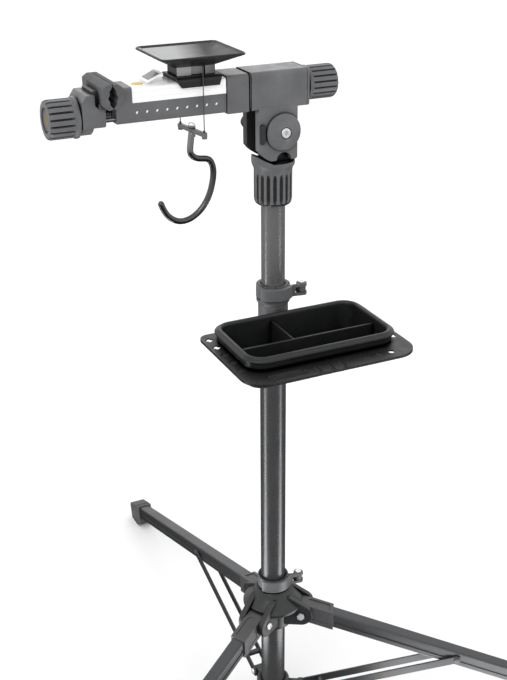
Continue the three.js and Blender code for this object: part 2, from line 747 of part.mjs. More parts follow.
// ---- Weighing gear ----
const saddleOuter = roundedRect(-SADDLE.half, SADDLE.half, SADDLE.low, SADDLE.top, [0.5, 0.5, 6, 6]);
const saddleInner = roundedRect(
  -BEAM.half - GAP, BEAM.half + GAP, SADDLE.low - 5, coverTop + GAP, [0.5, 0.5, 4.3, 4.3],
);
const saddleSide = shapeOf([
  [SADDLE.left, SADDLE.top + 1], [SADDLE.left, SADDLE.top - 4], [SADDLE.left + 6, SADDLE.low + 1],
  [SADDLE.left + 7, SADDLE.low - 1],
  [SADDLE.right - 4, SADDLE.low - 1],
  [SADDLE.right - 3, SADDLE.low + 1],
  [SADDLE.right, SADDLE.top - 3], [SADDLE.right, SADDLE.top + 1],
]);
add(
  "weigh_saddle",
  cut(
    extrude(saddleOuter, "yz", SADDLE.left, SADDLE.right, 0, 6),
    extrude(saddleInner, "yz", -170, -70, 0, 4),
  ).intersect(
    extrude(saddleSide, "xz", -40, 40),
  ),
  black(),
);

const { floor, rim, baseX, baseY, rimX, rimY, wall } = DISH;
add(
  "dish",
  cut(
    union(
      loft([
        ringAt(floor, SCALE_X, 0, baseX, baseY, 5),
        ringAt(rim - 3, SCALE_X, 0, rimX - 1.2, rimY - 1.2, 6),
        ringAt(rim - 2, SCALE_X, 0, rimX, rimY, 6), ringAt(rim, SCALE_X, 0, rimX - 0.5, rimY - 0.5, 6),
      ]),
      box(SCALE_X - 26, SCALE_X - 6, -17, 17, SADDLE.top + GAP, floor + 1),
      box(SCALE_X + 14, SCALE_X + 28, -17, 17, SADDLE.top + GAP, floor + 1),
      box(SCALE_X - 10, SCALE_X + 16, -12, 12, SADDLE.top + GAP, floor + 1),
    ),
    loft([
      ringAt(floor + wall, SCALE_X, 0, baseX - 1, baseY - 1, 4),
      ringAt(rim + 1, SCALE_X, 0, rimX - 3, rimY - 3, 5),
    ]),
  ),
  black(),
);

const hanger = new THREE.Group();
hanger.position.set(SCALE_X, 0, 0);
hanger.rotation.z = radians(YOKE.yaw);
stand.add(hanger);
// The wires end just under the dish's sloping underside, with room to swing.
const wireTop = floor + ((rim - 3 - floor) * (YOKE.wireY - baseY)) / (rimY - 1.2 - baseY) - 3.4;
for (const [name, y] of [["wire_front", -YOKE.wireY], ["wire_back", YOKE.wireY]]) {
  add(name, union(
    bar("z", 0.7, YOKE.z + 3 + GAP, wireTop, 0, y, 10),
    bar("z", 1.6, YOKE.z + 3 + GAP, YOKE.z + 5.5, 0, y, 12),
  ), steel(), hanger);
}
add(
  "hook_yoke",
  cut(
    union(
      extrude(roundedRect(-3, 3, YOKE.z - 3, YOKE.z + 3, 0.8, 1), "xz", -YOKE.half, YOKE.half),
      bar("z", 3.6, YOKE.z - 5.5, YOKE.z + 2.9, 0, YOKE.wireY, 12),
      bar("z", 3.6, YOKE.z - 5.5, YOKE.z + 2.9, 0, -YOKE.wireY, 12),
      bar("z", 5.2, YOKE.z - 2.9, YOKE.z + 2.9, 0, 0, 16),
    ),
    bar("z", 2.6, YOKE.z - 10, YOKE.z + 10, 0, 0, 16),
  ),
  charcoal(),
  hanger,
);

// J-shaped hook: one bent rod, its lower part coated. Points are x from the swivel, and z.
const HOOK_R = 4.4;
const hookPath = new THREE.CatmullRomCurve3(
  [
    [-1.5, 1056], [-3, 1045], [-4.5, 1034], [0, 1026], [10, 1021.5], [22, 1019], [28.5, 1006], [28, 990],
    [23, 970], [13, 952], [-3, 940], [-19, 936], [-34, 941], [-44, 953], [-48, 964],
  ].map(([x, z]) => new THREE.Vector3(SCALE_X + x, 0, z)),
);
const hookSection = new THREE.Shape();
hookSection.absarc(0, 0, HOOK_R, 0, 2 * Math.PI, false);
add(
  "hook",
  union(
    solid(
      new THREE.ExtrudeGeometry(hookSection, {
        steps: 32,
        curveSegments: 5,
        bevelEnabled: false,
        extrudePath: hookPath,
      }),
    ),
    bar("z", 2.2, 1053, YOKE.z + 3, SCALE_X, 0, 16),
    bar("z", 4.4, YOKE.z + 3 + GAP, YOKE.z + 6, SCALE_X, 0, 6),
    bar("z", 2.2, YOKE.z + 2, YOKE.z + 6, SCALE_X, 0, 16),
    bar("z", 4.2, 1052, YOKE.z - 3 - GAP, SCALE_X, 0, 16),
  ),
  vinyl(),
);

// ---- Clamp jaws, carrier, screw and knob ----
// Half profile of a jaw, measured out from the split line and down from the top.
const jawProfile = [
  [0, 0.4], [0.4, 0], [6.4, 0], [12.7, -4.5], [12.7, -27], [5.4, -32.3], [0.4, -31], [0, -30.5], [0, -30],
  [4, -25], [3.9, -22], [6.4, -17], [3.9, -12], [4.4, -8.5], [0, -2.5],
];
function jaw(side) {
  const outline = jawProfile.map(([out, down]) => [JAW.split + side * (out + 0.5), JAW.z + down]);
  return extrude(shapeOf(outline), "xz", -JAW.half, JAW.half, 0);
}
add("fixed_jaw", jaw(1), rubber());
add("moving_jaw", jaw(-1), rubber());

const carrierShape = shapeOf([
  [CARRIER.left, CARRIER.bottom],
  [CARRIER.right - 1.5, CARRIER.bottom],
  [CARRIER.right, CARRIER.bottom + 1.5],
  [CARRIER.right, CARRIER.low], [CARRIER.step + 5, CARRIER.low], [CARRIER.step, CARRIER.low + 5],
  [CARRIER.step, CARRIER.top], [CARRIER.left + 6, CARRIER.top], [CARRIER.left, CARRIER.top - 9],
]);
const jawBack = JAW.split - 13.2 - GAP;
add(
  "jaw_carrier",
  cut(
    union(
      extrude(carrierShape, "xz", -CARRIER.half, CARRIER.half, 0.8),
      box(CARRIER.step - 2, jawBack, -20, 20, CARRIER.low - 3, CARRIER.top + 4),
      turnedAlong("x", CARRIER.left, 0, SCREW.z, [[0, 0], [24, 0], [24, 15], [22.5, 16.5], [0, 16.5]]),
    ),
    bar("x", SCREW.r + 0.5, CARRIER.left - 1, CARRIER.right + 1, 0, SCREW.z, 16),
    bar("x", ROD.r + GAP, CARRIER.left + 6, CARRIER.right + 1, ROD.y, ROD.z, 20),
    bar("x", ROD.r + GAP, CARRIER.left + 6, CARRIER.right + 1, -ROD.y, ROD.z, 20),
  ),
  charcoal(),
);
add("guide_rod_front", bar("x", ROD.r, CARRIER.left + 6.3, -150, -ROD.y, ROD.z, 16), steel());
add("guide_rod_back", bar("x", ROD.r, CARRIER.left + 6.3, -150, ROD.y, ROD.z, 16), steel());

const KNOB = { right: CARRIER.left - 1, left: -321, r: 26 };
const screwLeft = KNOB.left + 12;
add("lead_screw", bar("x", SCREW.r, screwLeft, -150, 0, SCREW.z, 20), steel());

function flutedKnob(r, depth, count, low, high, z) {
  const body = extrude(flutedShape(r, depth, count), "yz", low, high, 1.6);
  return body.translate([0, 0, z]);
}
add(
  "clamp_knob",
  cut(
    union(
      flutedKnob(KNOB.r, 1.5, 18, KNOB.left, KNOB.right - 4, SCREW.z),
      turnedAlong(
        "x", KNOB.right - 6, 0, SCREW.z,
        [[0, 0], [KNOB.r + 0.4, 0], [KNOB.r + 1, 2], [KNOB.r + 1, 5], [KNOB.r, 6], [0, 6]],
        32,
      ),
    ),
    bar("x", SCREW.r + GAP, screwLeft - GAP, KNOB.right + 1, 0, SCREW.z, 16),
    bar("x", 16, KNOB.left - 1, KNOB.left + 2, 0, SCREW.z, 16),
  ),
  charcoal(),
);
const LOCK = { left: 45, right: 91, r: 24 };
add(
  "arm_lock_knob",
  cut(
    union(
      flutedKnob(LOCK.r, 1.3, 18, LOCK.left + 3, LOCK.right, ARM_Z),
      turnedAlong(
        "x", LOCK.left, 0, ARM_Z,
        [[0, 0], [LOCK.r - 0.6, 0], [LOCK.r + 0.6, 1], [LOCK.r + 0.6, 4], [0, 4]],
        32,
      ),
    ),
    bar("x", AXLE_R + FIT, LOCK.left - 1, 74, 0, ARM_Z),
  ),
  charcoal(),
);

// ---- Tool tray ----
const slab = (half, back, front, r, low, high, bevel = 0) =>
  extrude(roundedRect(-half, half, front, back, r), "xy", low, high, bevel, 6);
const trayBlank = union(
  slab(TRAY.half, TRAY.back, TRAY.front, 22, TRAY.floor, TRAY.rim - 2, 1.5),
  slab(118.5, -30, -172, 28, 780, TRAY.rim, 2),
  slab(115, -33, -169, 25, 771, 781, 1.2),
  extrude(
    roundedRect(-FLANGE.half, FLANGE.half, FLANGE.front, FLANGE.back, [34, 34, 15, 15]),
    "xy",
    FLANGE.top - FLANGE.thick,
    FLANGE.top,
    0.8,
    7,
  ),
);
const binTop = TRAY.rim + 2;
const binFloor = TRAY.floor + TRAY.wall;
const DIVIDER = { x: -22, y: -112, half: 1.5, top: 779 };
const bin = (x0, x1, y0, y1, r) => extrude(roundedRect(x0, x1, y0, y1, r), "xy", binFloor, binTop, 0, 4);
const innerHalf = TRAY.half - TRAY.wall;
const innerFront = TRAY.front + TRAY.wall;
const innerBack = TRAY.back - TRAY.wall;
const dividerBack = DIVIDER.y + DIVIDER.half;
const compartments = [
  bin(-innerHalf, DIVIDER.x - DIVIDER.half, dividerBack, innerBack, [2, 2, 2, 16]),
  bin(DIVIDER.x + DIVIDER.half, innerHalf, dividerBack, innerBack, [2, 2, 16, 2]),
  bin(-innerHalf, innerHalf, innerFront, DIVIDER.y - DIVIDER.half, [16, 16, 2, 2]),
];
const trayMouth = extrude(
  roundedRect(-innerHalf, innerHalf, innerFront, innerBack, 16), "xy", DIVIDER.top, binTop, 0, 4,
);
const SIDE_HOLE = { x: 121.5, first: -42, pitch: 27, arm: 6, half: 2.5 };
const crossHoles = [];
for (let i = 0; i < 5; i++) {
  const y = SIDE_HOLE.first - i * SIDE_HOLE.pitch;
  const x = -SIDE_HOLE.x;
  crossHoles.push(
    union(
      box(x - SIDE_HOLE.arm, x + SIDE_HOLE.arm, y - SIDE_HOLE.half, y + SIDE_HOLE.half, 755, 780),
      box(x - SIDE_HOLE.half, x + SIDE_HOLE.half, y - SIDE_HOLE.arm, y + SIDE_HOLE.arm, 755, 780),
    ),
  );
}
const sideSlots = [-50, -92, -134].map((y) =>
  extrude(stadium(SIDE_HOLE.x, y - 14, y + 14, 4.5), "xy", 755, 780, 0, 6),
);
const keySlot = extrude(roundedRect(-98, -42, -199, -182, 5), "xy", 755, 780, 0, 4);
const wrenchNotches = [-26, -7, 12].map((x) =>
  extrude(
    shapeOf([
      [x - 6, -210], [x + 6, -210], [x + 3.2, -198],
      [x + 3.2, -184], [x - 3.2, -184], [x - 3.2, -198],
    ]),
    "xy", 755, 780,
  ),
);
const driverHoles = [52, 72, 92].map((x) => bar("z", 4.5, 755, 780, x, -188, 16));
const mastNotch = bar("z", 29, 735, 770, 0, 0, 32);
add(
  "tool_tray",
  cut(
    union(
      cut(
        trayBlank, ...compartments, trayMouth, ...crossHoles, ...sideSlots,
        keySlot, ...wrenchNotches, ...driverHoles, mastNotch,
      ),
      bar("x", 3.4, -96, -44, -201.4, FLANGE.top - 2.4, 12),
    ),
  ),
  black(),
);

// Split plastic liner, clamp ring with its bracket, and the clamp's knob at the back.
add(
  "tray_liner",
  cut(
    turned([
      [LOWER_TUBE.r + FIT, TRAY_CLAMP.bottom - 1], [23, TRAY_CLAMP.bottom - 1], [23, TRAY_CLAMP.top],
      [LOWER_TUBE.r + FIT, TRAY_CLAMP.top], [LOWER_TUBE.r + FIT, TRAY_CLAMP.bottom - 1],
    ]),
    box(15, 30, -1, 1, TRAY_CLAMP.bottom - 5, TRAY_CLAMP.top + 5),
  ),
  black(),
);
const trayKnobZ = (TRAY_CLAMP.bottom + TRAY_CLAMP.top) / 2;
add(
  "tray_clamp",
  cut(
    union(
      turned([
        [0, TRAY_CLAMP.bottom],
        [TRAY_CLAMP.r - 1, TRAY_CLAMP.bottom],
        [TRAY_CLAMP.r, TRAY_CLAMP.bottom + 1],
        [TRAY_CLAMP.r, TRAY_CLAMP.top - 1],
        [TRAY_CLAMP.r - 1, TRAY_CLAMP.top],
        [0, TRAY_CLAMP.top],
      ], 32),
      box(-20, 20, TRAY.back + GAP, -26, TRAY_CLAMP.bottom + 4, FLANGE.top - FLANGE.thick - GAP),
      bar("y", 11, 20, 34, 0, trayKnobZ),
    ),
    bar("z", 23 + FIT, TRAY_CLAMP.bottom - 1, TRAY_CLAMP.top + 0.5, 0, 0),
    bar("z", 27, TRAY_CLAMP.top, 780, 0, 0),
    bar("y", 4.4, 15, 40, 0, trayKnobZ, 20),
  ),
  black(),
);
const TRAY_KNOB = { r: 17, near: 36, far: 56 };
add(
  "tray_knob",
  union(
    extrude(flutedShape(TRAY_KNOB.r, 2.4, 8), "xz", TRAY_KNOB.near, TRAY_KNOB.far, 2)
      .translate([0, 0, trayKnobZ]),
    bar("y", 4, 24.6, TRAY_KNOB.near + 4, 0, trayKnobZ, 20),
    bar("y", 9, 34.5, TRAY_KNOB.near + 2, 0, trayKnobZ, 16),
  ),
  black(),
);

// ---- The stand's own frame: origin under the middle of its box, on the floor ----
const bounds = new THREE.Box3().setFromObject(stand, true);
const middle = bounds.getCenter(new THREE.Vector3());
stand.position.set(-middle.x, -middle.y, -bounds.min.z);

export default stand;
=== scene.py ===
"""Bike repair stand: the visible surfaces, their finishes, the light and the camera.

Shapes are drawn in millimetres with the mast's axis at x = y = 0 and the floor at z = 0,
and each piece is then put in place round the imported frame.
"""

import json
from math import atan2, cos, degrees, exp, hypot, pi, radians, sin, sqrt

import bmesh
import bpy
from mathutils import Matrix, Vector


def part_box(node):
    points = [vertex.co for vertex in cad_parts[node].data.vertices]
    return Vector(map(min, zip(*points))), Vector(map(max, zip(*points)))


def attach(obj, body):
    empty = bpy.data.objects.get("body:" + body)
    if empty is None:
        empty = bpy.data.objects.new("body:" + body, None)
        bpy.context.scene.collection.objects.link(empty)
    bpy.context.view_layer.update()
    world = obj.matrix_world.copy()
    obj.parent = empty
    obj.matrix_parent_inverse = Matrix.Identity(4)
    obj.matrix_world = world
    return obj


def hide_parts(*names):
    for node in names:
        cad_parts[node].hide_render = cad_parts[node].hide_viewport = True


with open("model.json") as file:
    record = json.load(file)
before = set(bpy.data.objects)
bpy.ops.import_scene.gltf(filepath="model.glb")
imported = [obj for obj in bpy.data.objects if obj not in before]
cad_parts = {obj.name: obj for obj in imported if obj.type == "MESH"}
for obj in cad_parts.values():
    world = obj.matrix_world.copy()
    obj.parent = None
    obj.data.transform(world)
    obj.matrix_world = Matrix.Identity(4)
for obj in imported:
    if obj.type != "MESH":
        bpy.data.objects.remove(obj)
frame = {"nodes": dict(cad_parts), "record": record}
scene = bpy.context.scene
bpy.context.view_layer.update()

MM = 0.001
GAP = 0.3
tube_low, tube_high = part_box("lower_tube")
MAST = Vector(((tube_low.x + tube_high.x) / 2, (tube_low.y + tube_high.y) / 2, 0))
HOME = Matrix.Translation(MAST)
BODY_OF = {
    node: body
    for body, nodes in frame["record"]["behaviour"]["bodies"].items()
    for node in nodes
}


def size(node, axes="xyz"):
    """A node's box at rest: its low and high end along each axis, from the mast's foot."""
    corners = [(corner - MAST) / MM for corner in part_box(node)]
    return [corner["xyz".index(axis)] for axis in axes for corner in corners]


# ---- Outlines and solids ----
def arc(u, v, r, start, end, steps=8):
    turns = [radians(start + (end - start) * i / steps) for i in range(steps + 1)]
    return [(u + r * cos(a), v + r * sin(a)) for a in turns]


def oblong(u, low, high, r):
    """A slot's outline, round at both ends; low and high are the middles of its ends."""
    return arc(u, high, r, 0, 180, 12) + arc(u, low, r, 180, 360, 12)


def rounded(u0, u1, v0, v1, radii, steps=6):
    """Rectangle with rounded corners; radii start at (u0, v0) and go round by (u1, v0)."""
    a, b, c, d = radii if isinstance(radii, (list, tuple)) else [radii] * 4
    corners = [
        (u0 + a, v0 + a, a, 180), (u1 - b, v0 + b, b, 270),
        (u1 - c, v1 - c, c, 0), (u0 + d, v1 - d, d, 90),
    ]
    outline = []
    for u, v, r, start in corners:
        outline += arc(u, v, r, start, start + 90, steps) if r > 0 else [(u, v)]
    return outline


def soft(points, reach, closed=True, steps=3):
    """Rounds the corners of an outline or profile, as far as reach along each side."""
    outline = []
    count = len(points)
    for i, corner in enumerate(points):
        if not closed and i in (0, count - 1):
            outline.append(corner)
            continue
        here = Vector(corner)
        before = Vector(points[i - 1]) - here
        after = Vector(points[(i + 1) % count]) - here
        start = here + before.normalized() * min(reach, before.length * 0.45)
        end = here + after.normalized() * min(reach, after.length * 0.45)
        for k in range(steps + 1):
            t = k / steps
            bent = start * (1 - t) ** 2 + here * (2 * t * (1 - t)) + end * t ** 2
            outline.append((bent.x, bent.y))
    return outline


def solid(points, faces):
    """A closed mesh from points in millimetres, its faces turned outwards."""
    mesh = bpy.data.meshes.new("piece")
    mesh.from_pydata([Vector(p) * MM for p in points], [], faces)
    work = bmesh.new()
    work.from_mesh(mesh)
    bmesh.ops.recalc_face_normals(work, faces=work.faces)
    work.to_mesh(mesh)
    work.free()
    piece = bpy.data.objects.new("piece", mesh)
    scene.collection.objects.link(piece)
    return piece


PLANES = {
    "xy": lambda u, v, w: (u, v, w),
    "yz": lambda u, v, w: (w, u, v),
    "xz": lambda u, v, w: (u, w, v),
}
LATHES = {
    "z": lambda r, c, s, h: (r * c, r * s, h),
    "x": lambda r, c, s, h: (h, r * c, r * s),
    "y": lambda r, c, s, h: (r * c, h, r * s),
}


def loft(rings):
    """A skin over rings that have the same number of points, with a flat cap at each end."""
    count = len(rings[0])
    points = [p for ring in rings for p in ring]
    faces = [list(range(count)), list(range((len(rings) - 1) * count, len(points)))]
    for k in range(len(rings) - 1):
        for i in range(count):
            j = (i + 1) % count
            faces.append([k * count + i, k * count + j, (k + 1) * count + j, (k + 1) * count + i])
    return solid(points, faces)


def prism(outline, plane, low, high):
    to_space = PLANES[plane]
    return loft([[to_space(u, v, w) for u, v in outline] for w in (low, high)])


def block(x0, x1, y0, y1, z0, z1):
    return prism([(x0, y0), (x1, y0), (x1, y1), (x0, y1)], "xy", z0, z1)


def lathe(profile, axis="z", at=(0, 0, 0), segments=96, shape=None, ease=0):
    """Turns a profile of (radius, height). It starts and ends on the axis, or closes on itself.

    ease rounds the profile's corners, and shape(radius, height, angle) may return another
    (radius, height) for a point.
    """
    to_space = LATHES[axis]
    if ease:
        profile = soft(profile, ease, closed=profile[0][0] > 0)
    points, rings, faces = [], [], []
    for radius, height in profile:
        steps = 1 if radius == 0 else segments
        ring = []
        for i in range(steps):
            angle = 2 * pi * i / segments
            r, h = shape(radius, height, angle) if shape and radius else (radius, height)
            offset = to_space(r, cos(angle), sin(angle), h)
            ring.append(len(points))
            points.append([offset[k] + at[k] for k in range(3)])
        rings.append(ring)
    pairs = list(zip(rings, rings[1:]))
    if profile[0][0] > 0:
        pairs.append((rings[-1], rings[0]))
    for a, b in pairs:
        for i in range(segments):
            j = (i + 1) % segments
            corners = [a[i % len(a)], a[j % len(a)], b[j % len(b)], b[i % len(b)]]
            faces.append(list(dict.fromkeys(corners)))
    return solid(points, faces)


def hoop(inner, outer, low, high):
    """The profile of a plain round sleeve."""
    return [(inner, low), (outer, low), (outer, high), (inner, high)]


def bar(axis, r, low, high, at=(0, 0, 0), segments=32):
    return lathe([(0, low), (r, low), (r, high), (0, high)], axis, at, segments)


def sweep(path, r, sides=24, steps=8):
    """A round rod along a smooth curve through the path's points, with domed ends."""
    curve = bpy.data.curves.new("rod", "CURVE")
    curve.dimensions = "3D"
    line = curve.splines.new("NURBS")
    line.points.add(len(path) - 1)
    for point, place in zip(line.points, path):
        point.co = (*(Vector(place) * MM), 1)
    line.order_u = 4
    line.use_endpoint_u = True
    line.resolution_u = steps
    drawn = bpy.data.objects.new("rod", curve)
    scene.collection.objects.link(drawn)
    bpy.context.view_layer.update()
    graph = bpy.context.evaluated_depsgraph_get()
    spine = [v.co / MM for v in drawn.evaluated_get(graph).to_mesh().vertices]
    bpy.data.objects.remove(drawn)
    rings = []
    side = None
    last = len(spine) - 1
    dome = [(0.25, 0.97), (0.6, 0.8), (0.88, 0.47)]
    for i, centre in enumerate(spine):
        along = (spine[min(i + 1, last)] - spine[max(i - 1, 0)]).normalized()
        side = (along.orthogonal() if side is None else side - along * side.dot(along)).normalized()
        up = along.cross(side)
        turns = [2 * pi * k / sides for k in range(sides)]
        spokes = [side * cos(a) + up * sin(a) for a in turns]
        full = [centre + s * r for s in spokes]
        if i in (0, last):
            outward = -along if i == 0 else along
            caps = [[centre + s * r * w + outward * r * h for s in spokes] for w, h in dome]
            rings += [*caps, full] if i == 0 else [full, *reversed(caps)]
        else:
            rings.append(full)
    return loft(rings)


# ---- Changing solids ----
def bake(piece):
    """Makes a piece's modifiers part of its mesh."""
    bpy.context.view_layer.update()
    graph = bpy.context.evaluated_depsgraph_get()
    made = bpy.data.meshes.new_from_object(piece.evaluated_get(graph))
    piece.modifiers.clear()
    old = piece.data
    piece.data = made
    bpy.data.meshes.remove(old)
    return piece


def combine(piece, others, operation):
    for other in others:
        modifier = piece.modifiers.new("combine", "BOOLEAN")
        modifier.operation = operation
        modifier.solver = "EXACT"
        modifier.object = other
        bake(piece)
        bpy.data.objects.remove(other)
    return piece


def cut(piece, *others):
    return combine(piece, others, "DIFFERENCE")


def join(piece, *others):
    return combine(piece, others, "UNION")


def bevel(piece, width, segments=2, angle=32):
    modifier = piece.modifiers.new("bevel", "BEVEL")
    modifier.width = width * MM
    modifier.segments = segments
    modifier.limit_method = "ANGLE"
    modifier.angle_limit = radians(angle)
    return bake(piece)


def merged(piece, *others):
    """Puts pieces that only touch or overlap into one object."""
    work = bmesh.new()
    for part in (piece, *others):
        work.from_mesh(part.data)
    work.to_mesh(piece.data)
    work.free()
    for other in others:
        bpy.data.objects.remove(other)
    return piece


def turned(piece, angle, axis="Z"):
    piece.data.transform(Matrix.Rotation(radians(angle), 4, axis))
    return piece


def moved(piece, x, y, z):
    piece.data.transform(Matrix.Translation(Vector((x, y, z)) * MM))
    return piece


def smooth(piece, angle=38):
    """Smooth shading that breaks at edges sharper than angle."""
    work = bmesh.new()
    work.from_mesh(piece.data)
    bmesh.ops.remove_doubles(work, verts=work.verts, dist=0.01 * MM)
    for face in work.faces:
        face.smooth = True
    for edge in work.edges:
        edge.smooth = len(edge.link_faces) == 2 and edge.calc_face_angle(0) < radians(angle)
    work.to_mesh(piece.data)
    work.free()
    modifier = piece.modifiers.new("normals", "WEIGHTED_NORMAL")
    modifier.keep_sharp = True
    return bake(piece)


def show(name, piece, owner, finish, at=None):
    """Gives a piece its finish and the body of its owner; at is its place if drawn elsewhere."""
    piece.name = name
    smooth(piece)
    piece.data.materials.clear()
    piece.data.materials.append(finish)
    piece.matrix_world = HOME @ at if at else HOME
    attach(piece, BODY_OF[owner])
    return piece


def show_for(node, piece, finish, at=None):
    """Shows a piece in place of one CAD node."""
    show(f"fine_{node}", piece, node, finish, at)
    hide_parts(node)
    return piece


def part_finish(piece, finish, chosen):
    """Gives a second finish to the faces for which chosen(centre, normal) holds."""
    piece.data.materials.append(finish)
    for face in piece.data.polygons:
        if chosen(face.center / MM, face.normal):
            face.material_index = 1


def paint_flute_shade(piece, axis, height, limit, depth):
    """Paints shade into the beds of a knob's flutes by giving them the dark finish; axis is "x" or "z"
    at a height.
    """
    def in_bed(centre, normal):
        x, y, z = centre
        spoke = Vector((0, y, z - height)) if axis == "x" else Vector((x, y, 0))
        outward = spoke.length and normal.dot(spoke.normalized()) > 0.55
        return outward and limit - depth < spoke.length < limit

    part_finish(piece, DARK, in_bed)


# ---- Finishes ----
class Nodes:
    """Adds and links nodes in the tree of a material or world."""

    def __init__(self, owner):
        owner.use_nodes = True
        self.tree = owner.node_tree

    def add(self, kind, settings=(), fed=(), **inputs):
        """settings are the node's own; fed has inputs by number, and inputs by name."""
        node = self.tree.nodes.new(kind)
        for key, value in dict(settings).items():
            setattr(node, key, value)
        for key, value in dict(fed).items():
            self.feed(node.inputs[key], value)
        for key, value in inputs.items():
            self.feed(node.inputs[key.replace("_", " ")], value)
        return node

    def feed(self, socket, value):
        if isinstance(value, bpy.types.NodeSocket):
            self.tree.links.new(value, socket)
        else:
            socket.default_value = value

    def noise(self, scale, detail=3.0, stretch=(1, 1, 1), roughness=0.55):
        where = self.add("ShaderNodeTexCoord").outputs["Object"]
        mapped = self.add("ShaderNodeMapping", Vector=where, Scale=stretch)
        made = self.add(
            "ShaderNodeTexNoise", Vector=mapped.outputs["Vector"],
            Scale=scale, Detail=detail, Roughness=roughness,
        )
        return made.outputs["Fac"]

    def span(self, value, low, high, start=0.3, end=0.7):
        """Maps a value from start..end to low..high."""
        ends = dict(From_Min=start, From_Max=end, To_Min=low, To_Max=high)
        return self.add("ShaderNodeMapRange", Value=value, **ends).outputs["Result"]

    def mixed(self, amount, a, b):
        return self.add("ShaderNodeMix", {"data_type": "RGBA"}, {0: amount, 6: a, 7: b}).outputs[2]

    def blend(self, value, color, a, b, start=0.3, end=0.7):
        """A color's shade, a at the value's start and b at its end."""
        return self.mixed(self.span(value, 0, 1, start, end), shade(color, a), shade(color, b))

    def times(self, a, b):
        return self.add("ShaderNodeMath", {"operation": "MULTIPLY"}, {0: a, 1: b}).outputs[0]

    def edges(self, radius):
        """1 on a convex or concave edge, 0 on a flat."""
        bent = self.add("ShaderNodeBevel", {"samples": 6}, Radius=radius).outputs["Normal"]
        flat = self.add("ShaderNodeNewGeometry").outputs["Normal"]
        dot = self.add("ShaderNodeVectorMath", {"operation": "DOT_PRODUCT"}, {0: bent, 1: flat})
        return self.span(dot.outputs["Value"], 1, 0, 0.80, 0.985)

    def open_air(self, reach, deepest):
        """1 on open faces, down to deepest in grooves and corners."""
        near = self.add("ShaderNodeAmbientOcclusion", {"samples": 6}, Distance=reach)
        return self.span(near.outputs["AO"], deepest, 1, 0.5, 0.93)

    def bump(self, height, depth):
        return self.add("ShaderNodeBump", Height=height, Distance=depth).outputs["Normal"]


class Finish(Nodes):
    """A node material built round one Principled shader."""

    def __init__(self, name):
        self.material = bpy.data.materials.new(name)
        super().__init__(self.material)
        self.shader = self.tree.nodes["Principled BSDF"]

    def set(self, **sockets):
        for key, value in sockets.items():
            self.feed(self.shader.inputs[key.replace("_", " ")], value)
        return self.material


def shade(color, factor):
    return (*[min(1, c * factor) for c in color], 1)


def moulded(name, color, roughness, grain=1500, depth=0.00006, pale_edges=0.35, vary=0.16, gloss=0.3):
    """Moulded plastic: fine grain, faint mottling, painted shade in grooves and corners, paler edges
    that are partly rubbed wear and partly painted highlight.
    """
    made = Finish(name)
    cloud = made.noise(26, 4)
    base = made.blend(cloud, color, 1 - vary, 1 + vary)
    # Paler edges: partly rubbed wear, partly a painted highlight along the edges.
    pale_edge_share = made.times(made.edges(0.0011), made.span(made.noise(190, 4), 0.25, 1))
    base = made.mixed(made.times(pale_edge_share, pale_edges), base, shade(color, 2.6))
    # Painted shade: grooves and corners darken to near black, and their gloss is dimmed with them.
    air = made.open_air(0.009, 0)
    base = made.mixed(air, shade(color, 0.12), base)
    smear = made.noise(70, 5)
    fine = made.noise(grain, 2)
    return made.set(
        Base_Color=base,
        Roughness=made.span(smear, roughness - 0.07, roughness + 0.08),
        Specular_IOR_Level=made.times(air, gloss),
        Normal=made.bump(fine, depth),
    )


def drawn_metal(name, color, roughness, along, metallic=1.0, pale_edges=0.2, depth=0.00002):
    """Drawn or brushed metal, its fine lines along one axis."""
    made = Finish(name)
    stretch = [0.006 if axis == along else 1 for axis in "xyz"]
    lines = made.noise(1600, 3, stretch)
    cloud = made.noise(18, 4)
    base = made.blend(lines, color, 0.92, 1.08)
    base = made.mixed(made.span(cloud, 0, 0.2), base, shade(color, 1.5))
    scuff = made.times(made.edges(0.001), pale_edges)
    base = made.mixed(scuff, base, shade(color, 3))
    return made.set(
        Base_Color=base,
        Metallic=metallic,
        Roughness=made.span(made.noise(24, 2), roughness - 0.03, roughness + 0.05),
        Normal=made.bump(lines, depth),
    )


def rubbery(name, color):
    """Rubber: matt, dusty and faintly pitted."""
    made = Finish(name)
    dust = made.noise(45, 5)
    base = made.blend(dust, color, 0.9, 1.35, 0.4, 0.75)
    pale_edge_share = made.times(made.edges(0.0012), 0.3)
    base = made.mixed(pale_edge_share, base, shade(color, 1.9))
    # Painted shade: grooves and corners darken to near black.
    base = made.mixed(made.open_air(0.009, 0), shade(color, 0.12), base)
    pits = made.noise(1100, 3)
    return made.set(
        Base_Color=base,
        Roughness=made.span(dust, 0.62, 0.82),
        Normal=made.bump(pits, 0.00008),
        Specular_IOR_Level=0.35,
    )


def painted_sheen(name, color):
    """Satin tray face, light grey as a painted sheen, that darkens towards its far end as a painted
    reflection, with fine rubbed lines.
    """
    made = Finish(name)
    where = made.add("ShaderNodeTexCoord").outputs["Object"]
    along = made.add("ShaderNodeSeparateXYZ", Vector=where).outputs["X"]
    lines = made.noise(900, 3, (0.05, 1, 1))
    base = made.blend(lines, color, 0.9, 1.1)
    # Painted reflection: the colour fades to near black along x.
    base = made.mixed(made.span(along, 0, 1, -0.128, -0.086), base, shade(color, 0.12))
    return made.set(
        Base_Color=base,
        Roughness=made.span(made.noise(60, 4), 0.34, 0.46),
        Specular_IOR_Level=0.3,
        Normal=made.bump(lines, 0.00002),
    )


def dipped(name, color):
    """Thick glossy dip: slow waves and a few dull scuffs."""
    made = Finish(name)
    waves = made.noise(55, 2)
    scuffs = made.noise(420, 4, (1, 1, 0.25))
    base = made.blend(scuffs, color, 1, 5, 0.62, 0.75)
    return made.set(
        Base_Color=base,
        Roughness=made.span(scuffs, 0.12, 0.3, 0.5, 0.75),
        Normal=made.bump(waves, 0.0004),
        Coat_Weight=1,
        Coat_Roughness=0.05,
    )


